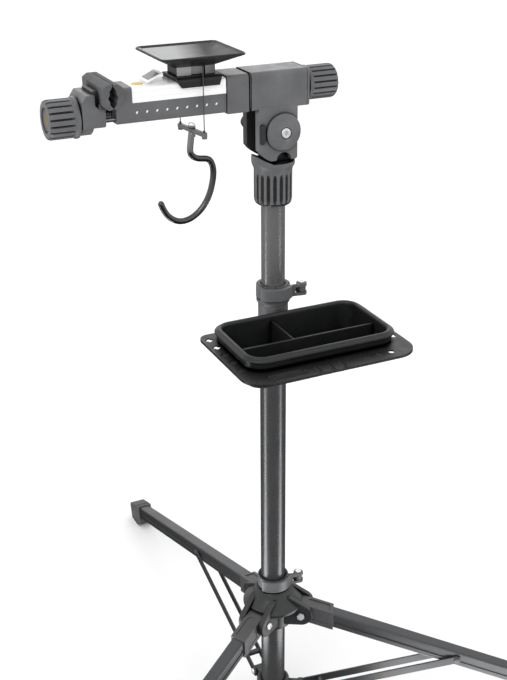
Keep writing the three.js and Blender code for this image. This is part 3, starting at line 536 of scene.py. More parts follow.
def cast_alloy(name, color):
    """Cast aluminium: pebbled skin with duller hollows."""
    made = Finish(name)
    skin = made.noise(520, 4)
    cloud = made.noise(30, 4)
    base = made.blend(cloud, color, 0.82, 1.12)
    base = made.mixed(made.times(made.edges(0.0014), 0.4), base, shade(color, 1.5))
    return made.set(
        Base_Color=base,
        Metallic=0.5,
        Roughness=made.span(skin, 0.38, 0.55),
        Normal=made.bump(skin, 0.0002),
    )


def paint(name, color, roughness=0.45):
    made = Finish(name)
    spots = made.noise(900, 3)
    base = made.blend(spots, color, 0.88, 1.05)
    return made.set(Base_Color=base, Roughness=made.span(spots, roughness, roughness + 0.12))


def read_out(name):
    """Unlit grey liquid-crystal window."""
    made = Finish(name)
    cloud = made.noise(60, 3)
    base = made.mixed(made.span(cloud, 0, 1), (0.085, 0.09, 0.088, 1), (0.12, 0.125, 0.122, 1))
    return made.set(
        Base_Color=base, Roughness=made.span(cloud, 0.2, 0.3), Coat_Weight=0.6, Coat_Roughness=0.05,
    )


CHARCOAL = moulded("satin_charcoal", (0.112, 0.1133, 0.117), 0.34, pale_edges=0.7)
DARK = moulded("dark_nylon", (0.02, 0.0207, 0.022), 0.33, pale_edges=0.9, gloss=0.4)
BLACK = moulded(
    "pebbled_black", (0.009, 0.0094, 0.0102), 0.40, grain=1100, depth=0.00014, pale_edges=0.6, gloss=0.4,
)
# Light grey painted sheen, for the dish's inner faces.
INSIDE = painted_sheen("painted_sheen_grey", (0.42, 0.422, 0.427))
ANODISED = drawn_metal("anodised_mast", (0.085, 0.086, 0.089), 0.27, "z", 0.6, depth=0.000006)
# Painted light: a copy of the mast's finish at twice the tone, for the upper tube.
ANODISED_LIT = drawn_metal("anodised_lit_copy", (0.17, 0.171, 0.175), 0.27, "z", 0.6, depth=0.000006)
ANODISED_LEG = drawn_metal("anodised_leg", (0.06, 0.061, 0.064), 0.36, "x", 0.6, depth=0.000008)
ALLOY = cast_alloy("cast_alloy", (0.075, 0.075, 0.078))
STEEL = drawn_metal("clean_steel", (0.68, 0.68, 0.69), 0.26, "z", 0.6, pale_edges=0.1)
SILVER = drawn_metal("brushed_silver", (0.88, 0.88, 0.885), 0.34, "x", 0.15, pale_edges=0.05)
RUBBER = rubbery("matt_rubber", (0.085, 0.086, 0.089))
COATED = dipped("glossy_dip", (0.006, 0.006, 0.007))
GOLD = paint("badge_gold", (0.62, 0.46, 0.12), 0.35)
TICK = paint("tick_white", (0.80, 0.80, 0.80))
SCREEN = read_out("read_out")
STEEL_DARK = drawn_metal("dull_steel", (0.24, 0.24, 0.25), 0.32, "z", pale_edges=0.1)
GOLD_DARK = moulded("badge_dark", (0.16, 0.12, 0.045), 0.35, pale_edges=0.2)


# ---- Mast ----
def mast_tube(node, wall, finish):
    x0, x1, low, high = size(node, "xz")
    r = (x1 - x0) / 2
    tube = lathe(hoop(r - wall, r, low, high), segments=128, ease=0.6)
    show_for(node, tube, finish)


def tube_bush():
    """Plain plug inside the mast, kept as packed with its own finish."""
    bush = frame["nodes"]["tube_bush"]
    bush.data.materials.clear()
    bush.data.materials.append(BLACK)


NECK_R = 22.6
BORE_R = 20.35
PIN_AT = (40, -14)
PIN_REACH = hypot(*PIN_AT)
PIN_TURN = degrees(atan2(PIN_AT[1], PIN_AT[0]))
PIN_R = 3


def neck_slots(inner, low, high):
    return [
        turned(block(inner - 1.5, NECK_R + 0.4, -0.8, 0.8, low, high + 1), a)
        for a in (20, 110, 200, 254)
    ]


def mast_sleeve():
    low, high = size("mast_sleeve", "z")
    inner, upper = BORE_R, 17.85
    seat = size("lower_tube")[5] + GAP
    band = size("mast_clamp_band")[4]
    profile = [
        (upper, seat), (upper, high), (NECK_R, high), (NECK_R, band - 1.5), (25, band - 2),
        (25, band - 7), (22.4, band - 10), (22.4, low), (inner, low), (inner, seat),
    ]
    sleeve = lathe(profile, segments=128, ease=0.9)
    show_for("mast_sleeve", cut(sleeve, *neck_slots(17.5, band, high)), CHARCOAL)


def clamp_band(node):
    low, high = size(node, "z")
    middle = (low + high) / 2
    band = lathe(hoop(22.9, 25.4, low, high), segments=128, ease=0.8)
    ear = block(24, PIN_REACH, -3.6, 3.6, middle - 4, middle + 4)
    ear = join(ear, bar("z", 6.4, middle - 4, middle + 4, (PIN_REACH, 0, 0), 48))
    slit = turned(block(15, 26.4, 6.2, 7.6, low - 1, high + 1), PIN_TURN)
    hole = bar("z", PIN_R + 0.35, low - 1, high + 1, (*PIN_AT, 0))
    show_for(node, cut(join(band, turned(bevel(ear, 0.6), PIN_TURN)), slit, hole), CHARCOAL)


def cam_lever(node):
    low, high = size(node, "z")
    middle = (low + high) / 2
    outer, inner, start, end = 30, 25.9, 205, 322
    outline = (
        arc(0, 0, outer, start, end, 40)
        + arc(*PIN_AT, 8, -70, 200, 24)
        + arc(0, 0, inner, end, start, 40)
    )
    lever = bevel(prism(outline, "xy", low, high), 1.1, 3)
    fork = bar("z", 13.5, middle - 4.5, middle + 4.5, (*PIN_AT, 0), 48)
    hole = bar("z", PIN_R + 0.35, low - 1, high + 1, (*PIN_AT, 0))
    show_for(node, cut(lever, fork, hole), CHARCOAL)


def qr_pin(node):
    low, high = size(node, "z")
    collar = high - 1.5
    profile = [
        (0, low), (PIN_R, low), (PIN_R, collar), (4.8, collar), (4.8, high - 0.3),
        (2.2, high), (1.8, high - 0.9), (0, high - 0.9),
    ]
    pin = lathe(profile, at=(*PIN_AT, 0), segments=48, ease=0.4)
    show_for(node, pin, STEEL)


# ---- Tripod ----
AZIMUTHS = {1: 90, 2: 210, 3: 330}
PIVOT_R = 48
HUB_Z = 232
BASE_Z = 60
TIP = 18
EAR_IN, EAR_OUT, EAR_R = 14.6, 24, 19


def ear_plate(azimuth, low, high):
    outline = (
        [(21, HUB_Z - EAR_R)]
        + arc(PIVOT_R, HUB_Z, EAR_R, -90, 62, 20)
        + [(28, 268), (21, 268)]
    )
    return turned(bevel(prism(outline, "xz", low, high), 1.1, 3), azimuth)


def slider_hub():
    high = size("slider_hub")[5]
    band = size("base_clamp_band")[4]
    body = [
        (BORE_R, 205), (31, 205), (31, 241), (50, 244), (50, 249.5), (44, 255), (38, 261),
        (33.5, 267), (30.5, 273), (28, 277), (NECK_R, 278.4), (NECK_R, high), (BORE_R, high),
    ]
    hub = lathe(body, segments=128, ease=1.4)
    for azimuth in AZIMUTHS.values():
        join(hub, ear_plate(azimuth, EAR_IN, EAR_OUT), ear_plate(azimuth, -EAR_OUT, -EAR_IN))
    for azimuth in AZIMUTHS.values():
        slot = block(PIVOT_R - 16.5, 90, -EAR_IN, EAR_IN, 195, 251.8)
        hole = bar("y", 4.4, -30, 30, (PIVOT_R, 0, HUB_Z))
        cut(hub, turned(slot, azimuth), turned(hole, azimuth))
    cut(hub, *neck_slots(20, band, high))
    show_for("slider_hub", bevel(hub, 0.5, 2, 40), DARK)


def base_hub():
    """A cup round the mast's foot, drained at the bottom, with a lug for each brace."""
    low, high = size("base_hub", "z")
    seat, drain = size("lower_tube")[4] - GAP, 6
    body = [
        (drain, low), (24, low), (28, low + 4), (28, high - 4), (25, high), (BORE_R, high),
        (BORE_R, seat), (drain, seat),
    ]
    hub = lathe(body, segments=96, ease=1.2)
    for azimuth in AZIMUTHS.values():
        lug = block(24, PIVOT_R, -11, 11, BASE_Z - 9, BASE_Z + 9)
        lug = bevel(join(lug, bar("y", 9, -10.9, 10.9, (PIVOT_R, 0, BASE_Z), 48)), 0.8)
        cut(lug, bar("y", 3.5, -20, 20, (PIVOT_R, 0, BASE_Z)))
        join(hub, turned(lug, azimuth))
    show_for("base_hub", hub, DARK)


def leg_place(i, height, tip):
    """Where a leg or brace is, drawn along +X from its pivot."""
    turn = Matrix.Rotation(radians(AZIMUTHS[i]), 4, "Z")
    out = Matrix.Translation(Vector((PIVOT_R, 0, height)) * MM)
    return turn @ out @ Matrix.Rotation(radians(tip), 4, "Y")


LEG_LENGTH = 664
LEG_HALF, LEG_TALL = 11, 13.5


def leg(i):
    tube = prism(rounded(-LEG_HALF, LEG_HALF, -LEG_TALL, LEG_TALL, 3, 5), "yz", 24, 672)
    hollow = prism(rounded(-7.2, 7.2, -11.3, 11.3, 2, 3), "yz", 20, 690)
    cut(tube, hollow)
    for side in (-1, 1):
        bed = side * (LEG_HALF - 1.6)
        groove = rounded(min(bed, side * 12), max(bed, side * 12), -4.5, 4.5, 0.5, 2)
        cut(tube, prism(groove, "yz", 60, LEG_LENGTH - 40))
    show_for(f"leg_{i}", bevel(tube, 0.4, 2, 50), ANODISED_LEG, leg_place(i, HUB_Z, TIP))


def leg_room(x0, x1):
    """The space that a leg takes up in a piece pushed onto it."""
    half, tall = LEG_HALF + GAP, LEG_TALL + GAP
    return block(x0, x1, -half, half, -tall, tall)


def leg_bracket(i):
    half, high = LEG_HALF + 3, LEG_TALL + 2.6
    outline = arc(0, 0, 15, 90, 270, 24) + [(12, -high), (62, -high), (52, high), (12, high)]
    bracket = prism(soft(outline, 1, steps=2), "xz", -half, half)
    bracket = bevel(bracket, 1.2, 3)
    cut(bracket, leg_room(23.7, 70), bar("y", 4.4, -20, 20))
    for side in (-1, 1):
        pad = [(22, -9), (50, -9), (45, 9), (22, 9)]
        cut(bracket, prism(soft(pad, 3), "xz", *sorted((side * 13.2, side * 20))))
    arch = arc(14, 0, 8, 90, 270, 20) + [(46, -8), (46, 8)]
    cut(bracket, prism(arch, "xy", high - 1.4, high + 5))
    show_for(f"leg_bracket_{i}", bracket, ALLOY, leg_place(i, HUB_Z, TIP))


def foot(i):
    reach = PIVOT_R + LEG_LENGTH * cos(radians(TIP))
    height = HUB_Z - LEG_LENGTH * sin(radians(TIP))
    high = LEG_TALL + 3
    outline = [
        (-34, -high), (-22, -high - 11), (16, -high - 20), (25, -high - 4), (25, high - 6),
        (18, high), (-34, high),
    ]
    shoe = bevel(prism(soft(outline, 3), "xz", -LEG_HALF - 4, LEG_HALF + 4), 2, 4)
    cut(shoe, leg_room(-40, 8 + GAP))
    for x in (-28, -23, -18):
        rib = [(x, high - 1), (x + 2, high - 1), (x + 2, high + 3), (x, high + 3)]
        cut(shoe, prism(rib, "xz", -20, 20))
    moved(turned(shoe, TIP, "Y"), reach, 0, height)
    cut(shoe, block(reach - 90, reach + 90, -60, 60, -60, 0))
    for x in (reach - 26, reach - 16, reach - 6, reach + 4):
        cut(shoe, block(x, x + 3, -30, 30, -1, 1.8))
    turn = Matrix.Rotation(radians(AZIMUTHS[i]), 4, "Z")
    show_for(f"foot_{i}", shoe, RUBBER, turn)


STRIP_IN, STRIP_THICK = 11.4, 3


def brace(i):
    length = (HUB_Z - BASE_Z) / (2 * sin(radians(TIP)))
    outline = arc(0, 0, 9, 50, 310, 28) + [(14, -7)] + arc(length, 0, 7, -90, 90, 20) + [(14, 7)]
    outer = STRIP_IN + STRIP_THICK
    made = bevel(prism(outline, "xz", STRIP_IN, outer), 0.7)
    join(made, bar("y", 5, -STRIP_IN - 1, STRIP_IN + 1, (36, 0, 0)))
    join(made, bevel(prism(outline, "xz", -outer, -STRIP_IN), 0.7))
    head = [(0, -0.5), (5, -0.5), (5, 0.8), (3.6, 2), (0, 2)]
    for side in (-1, 1):
        rivet = [(r, side * (outer + h)) for r, h in soft(head, 0.6, closed=False)]
        join(made, lathe(rivet, "y", (length, 0, 0), 32))
    cut(made, bar("y", 3.5, -30, 30))
    show_for(f"brace_{i}", made, ANODISED_LEG, leg_place(i, BASE_Z, -TIP))


def cross_bolt(node, i, height, tip, r, half, head_r):
    """Shank, domed head with a hexagon socket, and nut."""
    bolt = bar("y", r, -half - 1, half + 1, segments=32)
    head = [(0, 0), (head_r, 0), (head_r, 1.3), (head_r - 0.8, 2.5), (head_r - 2.2, 3.2), (0, 3.2)]
    cap = lathe(head, "y", (0, half + GAP, 0), 48, ease=0.5)
    socket = bar("y", head_r * 0.42, half + 2, half + 6, segments=6)
    nut = bevel(bar("y", head_r, -half - 4.5, -half - GAP, segments=6), 0.5)
    show_for(node, join(bolt, cut(cap, socket), nut), STEEL, leg_place(i, height, tip))


# ---- Folding head ----
PIVOT_X, PIVOT_Z = 2.5, 1052
AT_PIVOT = (PIVOT_X, 0, PIVOT_Z)
CHEEK_IN = 14
ARM_Z = 1110
ON_ARM = (0, 0, ARM_Z)
AXLE_R = 16
SCREW_Z, SCREW_BORE = 1096.5, 6
ON_SCREW = (0, 0, SCREW_Z)
ROD_Y, ROD_Z = 17, 1092.5


def mast_fitting():
    profile = [
        (0, 958), (15.2, 958), (15.2, 1000.3), (22.6, 1000.3), (22.6, 1006), (20, 1007.4), (0, 1007.4),
    ]
    plug = lathe(profile, ease=0.6)
    outline = [(PIVOT_X - 19.5, 1006), (PIVOT_X + 19.5, 1006)] + arc(PIVOT_X, PIVOT_Z, 19.5, 0, 180, 32)
    tongue = bevel(prism(outline, "xz", -13.6, 13.6), 1)
    hole = bar("y", 5.4, -20, 20, AT_PIVOT)
    show_for("mast_fitting", cut(join(plug, tongue), hole, bar("z", 10, 950, 985)), BLACK)


def step(value, low, high):
    t = max(0.0, min(1.0, (value - low) / (high - low)))
    return t * t * (3 - 2 * t)


FLUTES = 18


def fluted(inner, rise, fall, depth, width=0.13, fade=1):
    """Cuts flutes outside the radius inner; they start in the heights rise and end in fall."""
    def shape(radius, height, angle):
        if radius < inner:
            return radius, height
        deep = step(height, *rise) * (1 - fade * step(height, *fall))
        turn = angle * FLUTES / (2 * pi) % 1 - 0.5
        return radius - depth * deep * exp(-((turn / width) ** 4)), height
    return shape


def fold_collar():
    low, high = size("fold_collar", "z")
    rim = 1007
    grip = fluted(25, (low + 3, low + 9), (986, 992), 2.4, 0.26)

    def shape(radius, height, angle):
        x, y = radius * cos(angle), radius * sin(angle)
        radius, height = grip(radius, height, angle)
        if height > 1000:
            top = rim + (high - rim) * (1 - step(abs(y), 7, 12.8))
            if x < -12:
                top = max(top, min(high, rim + (-12 - x) * 0.5))
            height = 1000 + (height - 1000) * (top - 1000) / (high - 1000)
        return radius, height

    r, rim_r = 27.5, 31
    body = [(r, z) for z in (953, 960, 970, 980, 986, 990, 994)]
    profile = (
        [(17.85, low), (r - 5, low), (r - 2.2, low + 2), (r - 0.6, low + 5), (r, low + 9)]
        + body
        + [(28.6, 998), (30.4, 1002), (rim_r, 1005), (rim_r, high - 0.8), (rim_r - 0.8, high)]
        + [(rim_r - 1.9, high), (rim_r - 2.6, high - 0.8), (rim_r - 4.2, 1000), (23.4, 996)]
        + [(23.4, 990), (17.85, 990)]
    )
    collar = lathe(profile, segments=288, shape=shape)
    # Painted shade in the flute beds.
    paint_flute_shade(show_for("fold_collar", collar, CHARCOAL), "z", 0, r - 1.2, 1.3)


def pill(grow, low, high):
    return prism(oblong(-29, 1042, 1061, 4 + grow), "xz", low, high)


def cheek(low, high):
    left, right, bottom, sweep_r = -34, 25, 1012, 44
    drop = sqrt(sweep_r ** 2 - (PIVOT_X - left) ** 2)
    reach = sqrt(sweep_r ** 2 - (PIVOT_Z - bottom) ** 2)
    start = degrees(atan2(-drop, left - PIVOT_X)) + 360
    end = degrees(atan2(bottom - PIVOT_Z, -reach)) + 360
    outline = (
        [(left, 1087)]
        + arc(PIVOT_X, PIVOT_Z, sweep_r, start, end, 8)
        + arc(4, bottom, 11, 180, 0, 20)
        + [(right - 2, bottom), (right, bottom + 2), (right, 1087)]
    )
    return prism(outline, "xz", low, high)


def ring_groove(x, half, low, high, deep=0.7, wide=0.9):
    """A shallow groove round a box that runs along x."""
    outer = rounded(-half - 2, half + 2, low - 2, high + 2, 6, 6)
    inner = rounded(-half + deep, half - deep, low + deep, high - deep, 5, 6)
    ring = prism(outer, "yz", x, x + wide)
    return cut(ring, prism(inner, "yz", x - 1, x + wide + 1))


def head_housing():
    x0, x1, y0, y1, _, high = size("head_housing")
    low = 1085
    section = rounded(y0, y1, low, high, [3, 3, 6.5, 6.5], 8)
    head = bevel(prism(section, "yz", x0, x1), 1.4, 3)
    join(head, bevel(cheek(y0, -CHEEK_IN), 1.0), bevel(cheek(CHEEK_IN, y1), 1.0))
    cut(
        head,
        bar("x", AXLE_R + 0.35, x0 - 1, x1 + 1, ON_ARM, 64),
        bar("y", 5.4, -40, 40, AT_PIVOT),
        pill(GAP, -40, -10),
        ring_groove(x1 - 4.6, y1, low, high),
        ring_groove(x0 - 0.4, y1, low, high, 1.5, 2.0),
    )
    show_for("head_housing", head, CHARCOAL)
    # Painted shade: the far cheek under the head gets the dark finish.
    part_finish(head, DARK, lambda centre, normal: centre.y > 0 and centre.z < low - 0.5)


def release_button():
    y0, y1 = size("release_button", "y")
    show_for("release_button", bevel(pill(0, y0, y1), 1.3, 3), DARK)


def pivot_cap():
    y1 = size("pivot_cap")[3]
    profile = [
        (5.4, 0), (26, 0), (26, -1.9), (25.2, -3.0), (20, -5.2), (14, -7.5), (9, -9.2),
        (8.2, -9.5), (7.8, -8.2), (5.4, -8.2),
    ]
    placed = [(r, h + y1) for r, h in soft(profile, 0.5)]
    show_for("pivot_cap", lathe(placed, "y", AT_PIVOT, 128), CHARCOAL)


def pivot_bolt():
    y0, y1 = size("pivot_bolt", "y")
    profile = [(0, y0), (6, y0), (7, y0 + 0.7), (7, y0 + 1.4), (5, y0 + 1.4), (5, y1), (0, y1)]
    bolt = lathe(profile, "y", AT_PIVOT, 64, ease=0.3)
    socket = bar("y", 3.1, y0 - 1, y0 + 4, AT_PIVOT, 6)
    show_for("pivot_bolt", cut(bolt, socket), STEEL)


def lobed(depth, start, end):
    """A hand knob's radius, swinging in and out eight times round its outer part."""
    def shape(radius, height, angle):
        share = step(radius, start, end)
        return radius + share * depth * (cos(8 * angle) - 1), height
    return shape


def pivot_knob():
    y0, y1 = size("pivot_knob", "y")
    r = 30
    profile = [
        (5.4, y0), (13, y0), (13, y0 + 3.7), (26, y0 + 3.7), (r - 1, y0 + 5.5), (r, y0 + 8),
        (r, y1 - 4), (r - 1.2, y1 - 1.2), (r - 4, y1), (17, y1), (15.5, y1 - 1.6), (5.4, y1 - 1.6),
    ]
    knob = lathe(profile, "y", AT_PIVOT, 192, lobed(1.6, 14, 24), ease=0.9)
    show_for("pivot_knob", knob, BLACK)


# ---- Knobs with flutes ----
def clamp_knob():
    left, right = size("clamp_knob", "x")
    r = 25.6
    shank = left + 11.7
    rows = [(r, left + 4 + k * (right - left - 12) / 6) for k in range(7)]
    profile = (
        [(0, left + 2), (12.5, left + 2), (13, left + 1.2), (14, left + 1.2), (14.4, left + 2)]
        + [(16, left + 2), (16.4, left), (23, left), (r - 0.9, left + 1)]
        + rows
        + [(r, right - 6.4), (27, right - 5), (27, right - 1), (26, right), (6, right), (6, shank)]
        + [(0, shank)]
    )

    grip = fluted(22, (left - 2, left + 3), (right - 10, right - 7), 2.0)
    knob = lathe(profile, "x", ON_SCREW, 288, grip, ease=0.35)
    # Painted shade in the flute beds.
    paint_flute_shade(show_for("clamp_knob", knob, CHARCOAL), "x", SCREW_Z, r - 1.1, 1.2)
    badge = [(0, left + 1.9), (9, left + 1.9), (9, left + 2.4), (8.4, left + 2.6), (0, left + 2.6)]
    disc = lathe(badge, "x", ON_SCREW, 64)
    show("knob_badge", disc, "clamp_knob", GOLD_DARK)


def arm_lock_knob():
    left, right = size("arm_lock_knob", "x")
    r = 23.6
    rows = [(r, left + 8 + k * (right - left - 13) / 6) for k in range(7)]
    profile = (
        [(0, 74), (16.35, 74), (16.35, left), (r - 0.2, left), (r + 0.9, left + 1)]
        + [(r + 0.9, left + 4), (r, left + 5)]
        + rows
        + [(r - 0.4, right - 2.5), (r - 2.2, right - 0.4), (19, right), (16, right), (15.4, right - 0.8)]
        + [(13, right - 0.8), (12.4, right), (4, right), (0, right)]
    )

    grip = fluted(20, (left + 6, left + 9), (right - 4, right), 1.8, fade=0.5)
    knob = lathe(profile, "x", ON_ARM, 288, grip, ease=0.35)
    # Painted shade in the flute beds.
    paint_flute_shade(show_for("arm_lock_knob", knob, CHARCOAL), "x", ARM_Z, r - 1.0, 1.1)


# ---- Arm ----
def arm_axle():
    x0, x1 = size("arm_axle", "x")
    axle = lathe(hoop(11, AXLE_R, x0, x1), "x", ON_ARM, ease=0.6)
    show_for("arm_axle", axle, ALLOY)


def arm_root():
    x0, x1, y0, y1, z0, z1 = size("arm_root")
    root = prism(rounded(y0, y1, z0, z1, [3, 3, 6.5, 6.5], 8), "yz", x0, x1)
    root = bevel(root, 1.6, 4)
    cut(root, bar("x", AXLE_R + GAP, x0 + 2.7, x1 + 1, ON_ARM, 64))
    show_for("arm_root", root, CHARCOAL)


def cover_seat(x0, x1, half, low, top):
    outer = block(x0, x1 + 1, -40, 40, low, 1150)
    return cut(outer, block(x0 - 1, x1 + 2, -half + 1.8, half - 1.8, low - 1, top - 1.8))


def arm_beam():
    x0, x1, y0, y1, z0, _ = size("arm_beam")
    cover_x, _, cover_low, _ = size("scale_cover", "xz")
    section = rounded(y0, y1, z0, 1132.5, [2.5, 2.5, 4, 4], 6)
    beam = bevel(prism(section, "yz", x0, x1), 0.8)
    cut(
        beam,
        block(x0 - 1, -229.6, -30, 30, 1109.7, 1140),
        block(-222, -84, -20.5, 20.5, z0 + 2.7, 1128),
        cover_seat(cover_x - GAP, x1, y1, cover_low, 1132.5),
        bar("x", SCREW_BORE, x0 - 5, -200, ON_SCREW),
        bar("x", 3.35, x0 - 5, -200, (0, ROD_Y, ROD_Z)),
        bar("x", 3.35, x0 - 5, -200, (0, -ROD_Y, ROD_Z)),
    )
    show_for("arm_beam", beam, CHARCOAL)
    for k in range(9):
        x = -208 + k * 13.9
        tick = [(x, 1098.5), (x + 2.2, 1098.5), (x + 3.4, 1101.4), (x + 1.2, 1101.4)]
        mark = prism(tick, "xz", y0 - 0.15, y0 + 0.2)
        show(f"arm_tick_{k + 1}", mark, "arm_beam", TICK)


def scale_cover():
    x0, x1, y0, y1, z0, z1 = size("scale_cover")
    thick = 1.5
    outer = rounded(y0, y1, z0, z1, [0, 0, 4, 4], 8)
    inner = rounded(y0 + thick, y1 - thick, z0 - 2, z1 - thick, [0, 0, 2.5, 2.5], 6)
    shell = prism(outer, "yz", x0, x1)
    cut(shell, prism(inner, "yz", x0 - 1, x1 + 1))
    show_for("scale_cover", bevel(shell, 0.35, 2, 40), SILVER)
    badge = [
        (0, -0.1), (8.2, -0.1), (8.2, 0.35), (7.6, 0.55), (6.4, 0.55), (6.1, 0.3), (3.2, 0.3),
        (2.9, 0.5), (0, 0.5),
    ]
    disc = lathe(badge, "z", (-199, -8, z1), 64)
    show("cover_badge", disc, "scale_cover", GOLD)


def display():
    """Flip-up read-out: a tilted slab with a framed window, on a hinge bar."""
    top = 1133.1
    slab = prism(rounded(0, 24, 0.3, 2.6, 0.9, 4), "xz", -16, 16)
    bevel(slab, 0.5)
    window = block(3, 21, -12.5, 12.5, 2.2, 4)
    cut(slab, window)
    join(slab, bar("y", 1.3, -14, 14, (0, 0, 1.4)))
    moved(turned(slab, -24, "Y"), -187, 0, top + 0.6)
    show_for("display", slab, SILVER)
    glass = bevel(block(3.2, 20.8, -12.3, 12.3, 2.0, 2.45), 0.15)
    moved(turned(glass, -24, "Y"), -187, 0, top + 0.6)
    show("display_window", glass, "display", SCREEN)


def weigh_saddle():
    x0, x1, y0, y1, z0, z1 = size("weigh_saddle")
    outer = prism(rounded(y0, y1, z0, z1, [0.5, 0.5, 6, 6], 8), "yz", x0, x1)
    inner = rounded(-24.3, 24.3, z0 - 5, 1133.4, [0.5, 0.5, 4.3, 4.3], 6)
    cut(outer, prism(inner, "yz", x0 - 10, x1 + 10))
    side = [
        (x0, z1 + 1), (x0, z1 - 4), (x0 + 6, z0 + 1), (x0 + 7, z0 - 1), (x1 - 4, z0 - 1),
        (x1 - 3, z0 + 1), (x1, z1 - 3), (x1, z1 + 1),
    ]
    combine(outer, [prism(side, "xz", -40, 40)], "INTERSECT")
    show_for("weigh_saddle", bevel(outer, 0.6), BLACK)


SCALE_X = -121


def dish_ring(halves, inset, z, corner):
    half_x, half_y = [half - inset for half in halves]
    outline = rounded(SCALE_X - half_x, SCALE_X + half_x, -half_y, half_y, corner, 10)
    return [(x, y, z) for x, y in outline]


def dish():
    """A shallow square bowl with sloping sides and a rolled lip, on three feet."""
    x0, x1, y0, y1, _, rim = size("dish")
    floor, wall = 1150, 2.4
    rim_x, rim_y = (x1 - x0) / 2, (y1 - y0) / 2
    base, mouth = (29.5, 19.5), (rim_x, rim_y)
    rows = [
        (base, 4, floor, 3), (base, 0, floor + 0.8, 6), (mouth, 1.6, rim - 3.4, 8),
        (mouth, 0.3, rim - 2.8, 9), (mouth, 0, rim - 1.7, 9), (mouth, 0.4, rim - 0.5, 9),
        (mouth, 1.2, rim, 8.5), (mouth, 2.2, rim - 0.3, 8), (mouth, 3.2, rim - 1.4, 7),
        (mouth, 5.2, rim - 2.7, 7), (base, -0.5, floor + wall + 1.2, 5),
        (base, 2, floor + wall + 0.1, 4), (base, 6, floor + wall, 2),
    ]
    bowl = loft([dish_ring(*row) for row in rows])
    bump = lathe([(0, rim - 3), (3, rim - 3), (2.4, rim - 0.1), (1.4, rim), (0, rim)], "z",
                 (SCALE_X - 2, -rim_y + 4.2, 0), 24)
    join(bowl, bump)
    stand = size("weigh_saddle")[5] + GAP
    for low, high, half in ((-26, -6, 17), (14, 28, 17), (-10, 16, 12)):
        join(bowl, block(SCALE_X + low, SCALE_X + high, -half, half, stand, floor + 1))
    show_for("dish", bevel(bowl, 0.4, 2, 50), BLACK)

    # The bowl's upward faces inside the rim get the painted sheen; below the bowl's floor, the feet's
    # side faces get the same finish.
    def sheen_faces(centre, normal):
        if centre.z < floor:
            return abs(normal.y) > 0.9
        within = abs(centre.x - SCALE_X) < rim_x - 5 and abs(centre.y) < rim_y - 5
        return within and normal.z > 0.3 and centre.z > floor

    part_finish(bowl, INSIDE, sheen_faces)


# ---- Hook and its wires ----
YOKE_Z, WIRE_Y = 1062, 31
YOKE_TURN = Matrix.Translation(Vector((SCALE_X, 0, 0)) * MM) @ Matrix.Rotation(radians(9), 4, "Z")


def wire(node, y):
    high = size(node)[5]
    low = YOKE_Z + 3 + GAP
    profile = [(0, low), (1.6, low), (1.6, low + 2.2), (0.7, low + 2.6), (0.7, high - 2.6)]
    profile += [(1.3, high - 2.2), (1.3, high), (0, high)]
    made = lathe(profile, at=(0, y, 0), segments=24, ease=0.2)
    show_for(node, made, ANODISED, YOKE_TURN)


def hook_yoke():
    beam = prism(rounded(-3, 3, YOKE_Z - 3, YOKE_Z + 3, 0.9, 3), "xz", -34, 34)
    bevel(beam, 0.5)
    for y in (WIRE_Y, -WIRE_Y):
        join(beam, bevel(bar("z", 3.6, YOKE_Z - 5.5, YOKE_Z + 2.9, (0, y, 0), 48), 0.4))
    join(beam, bevel(bar("z", 5.2, YOKE_Z - 2.95, YOKE_Z + 2.95, segments=48), 0.3))
    cut(beam, bar("z", 2.6, YOKE_Z - 10, YOKE_Z + 10))
    show_for("hook_yoke", beam, CHARCOAL, YOKE_TURN)
    half = [(-9, 2), (-9, 7), (-7, 9.5)]
    loop = half + [(0, 10)] + [(-y, up) for y, up in reversed(half)]
    bail = sweep([(0, y, YOKE_Z + up) for y, up in loop], 0.7, 12)
    show("yoke_bail", bail, "hook_yoke", STEEL, YOKE_TURN)


HOOK_PATH = [
    (-1.5, 1058), (-2.6, 1047), (-5, 1035), (-2.5, 1026), (10, 1020.5), (24, 1021.5), (30.5, 1006),
    (28.5, 988), (23.5, 969), (13, 951), (-3, 938.5), (-20, 934.5), (-36, 941), (-45, 953), (-49, 965),
]


def hook():
    """One bent rod: a bare shank below the swivel, and a thick dip from its first bend on."""
    path = [(SCALE_X + x, 0, z) for x, z in HOOK_PATH]
    rod = show_for("hook", sweep(path, 4.4, 32, 10), COATED)
    part_finish(rod, STEEL_DARK, lambda centre, normal: centre.z > 1033)
    under, over, top = YOKE_Z - 3 - GAP, YOKE_Z + 3 + GAP, YOKE_Z + 6
    pin = [
        (0, 1053), (4.2, 1053), (4.2, under), (2.2, under), (2.2, over), (4.2, over),
        (4.2, YOKE_Z + 5.6), (3.6, top), (0, top),
    ]
    swivel = lathe(pin, at=(SCALE_X, 0, 0), segments=48, ease=0.3)
    show("hook_swivel", swivel, "hook", STEEL_DARK)


# ---- Clamp ----
JAW_SPLIT, JAW_TOP = -243, 1142.6
JAW_PROFILE = [
    (0, 0.4), (0.4, 0), (6.4, 0), (12.7, -4.5), (12.7, -27), (5.4, -32.3), (0.4, -31), (0, -30.5),
    (0, -30), (4, -25), (3.9, -22), (6.4, -17), (3.9, -12), (4.4, -8.5), (0, -2.5),
]


def jaw(node, side):
    outline = [(JAW_SPLIT + side * (out + 0.5), JAW_TOP + down) for out, down in JAW_PROFILE]
    y0, y1 = size(node, "y")
    show_for(node, bevel(prism(soft(outline, 0.7, steps=2), "xz", y0, y1), 0.9, 3), RUBBER)


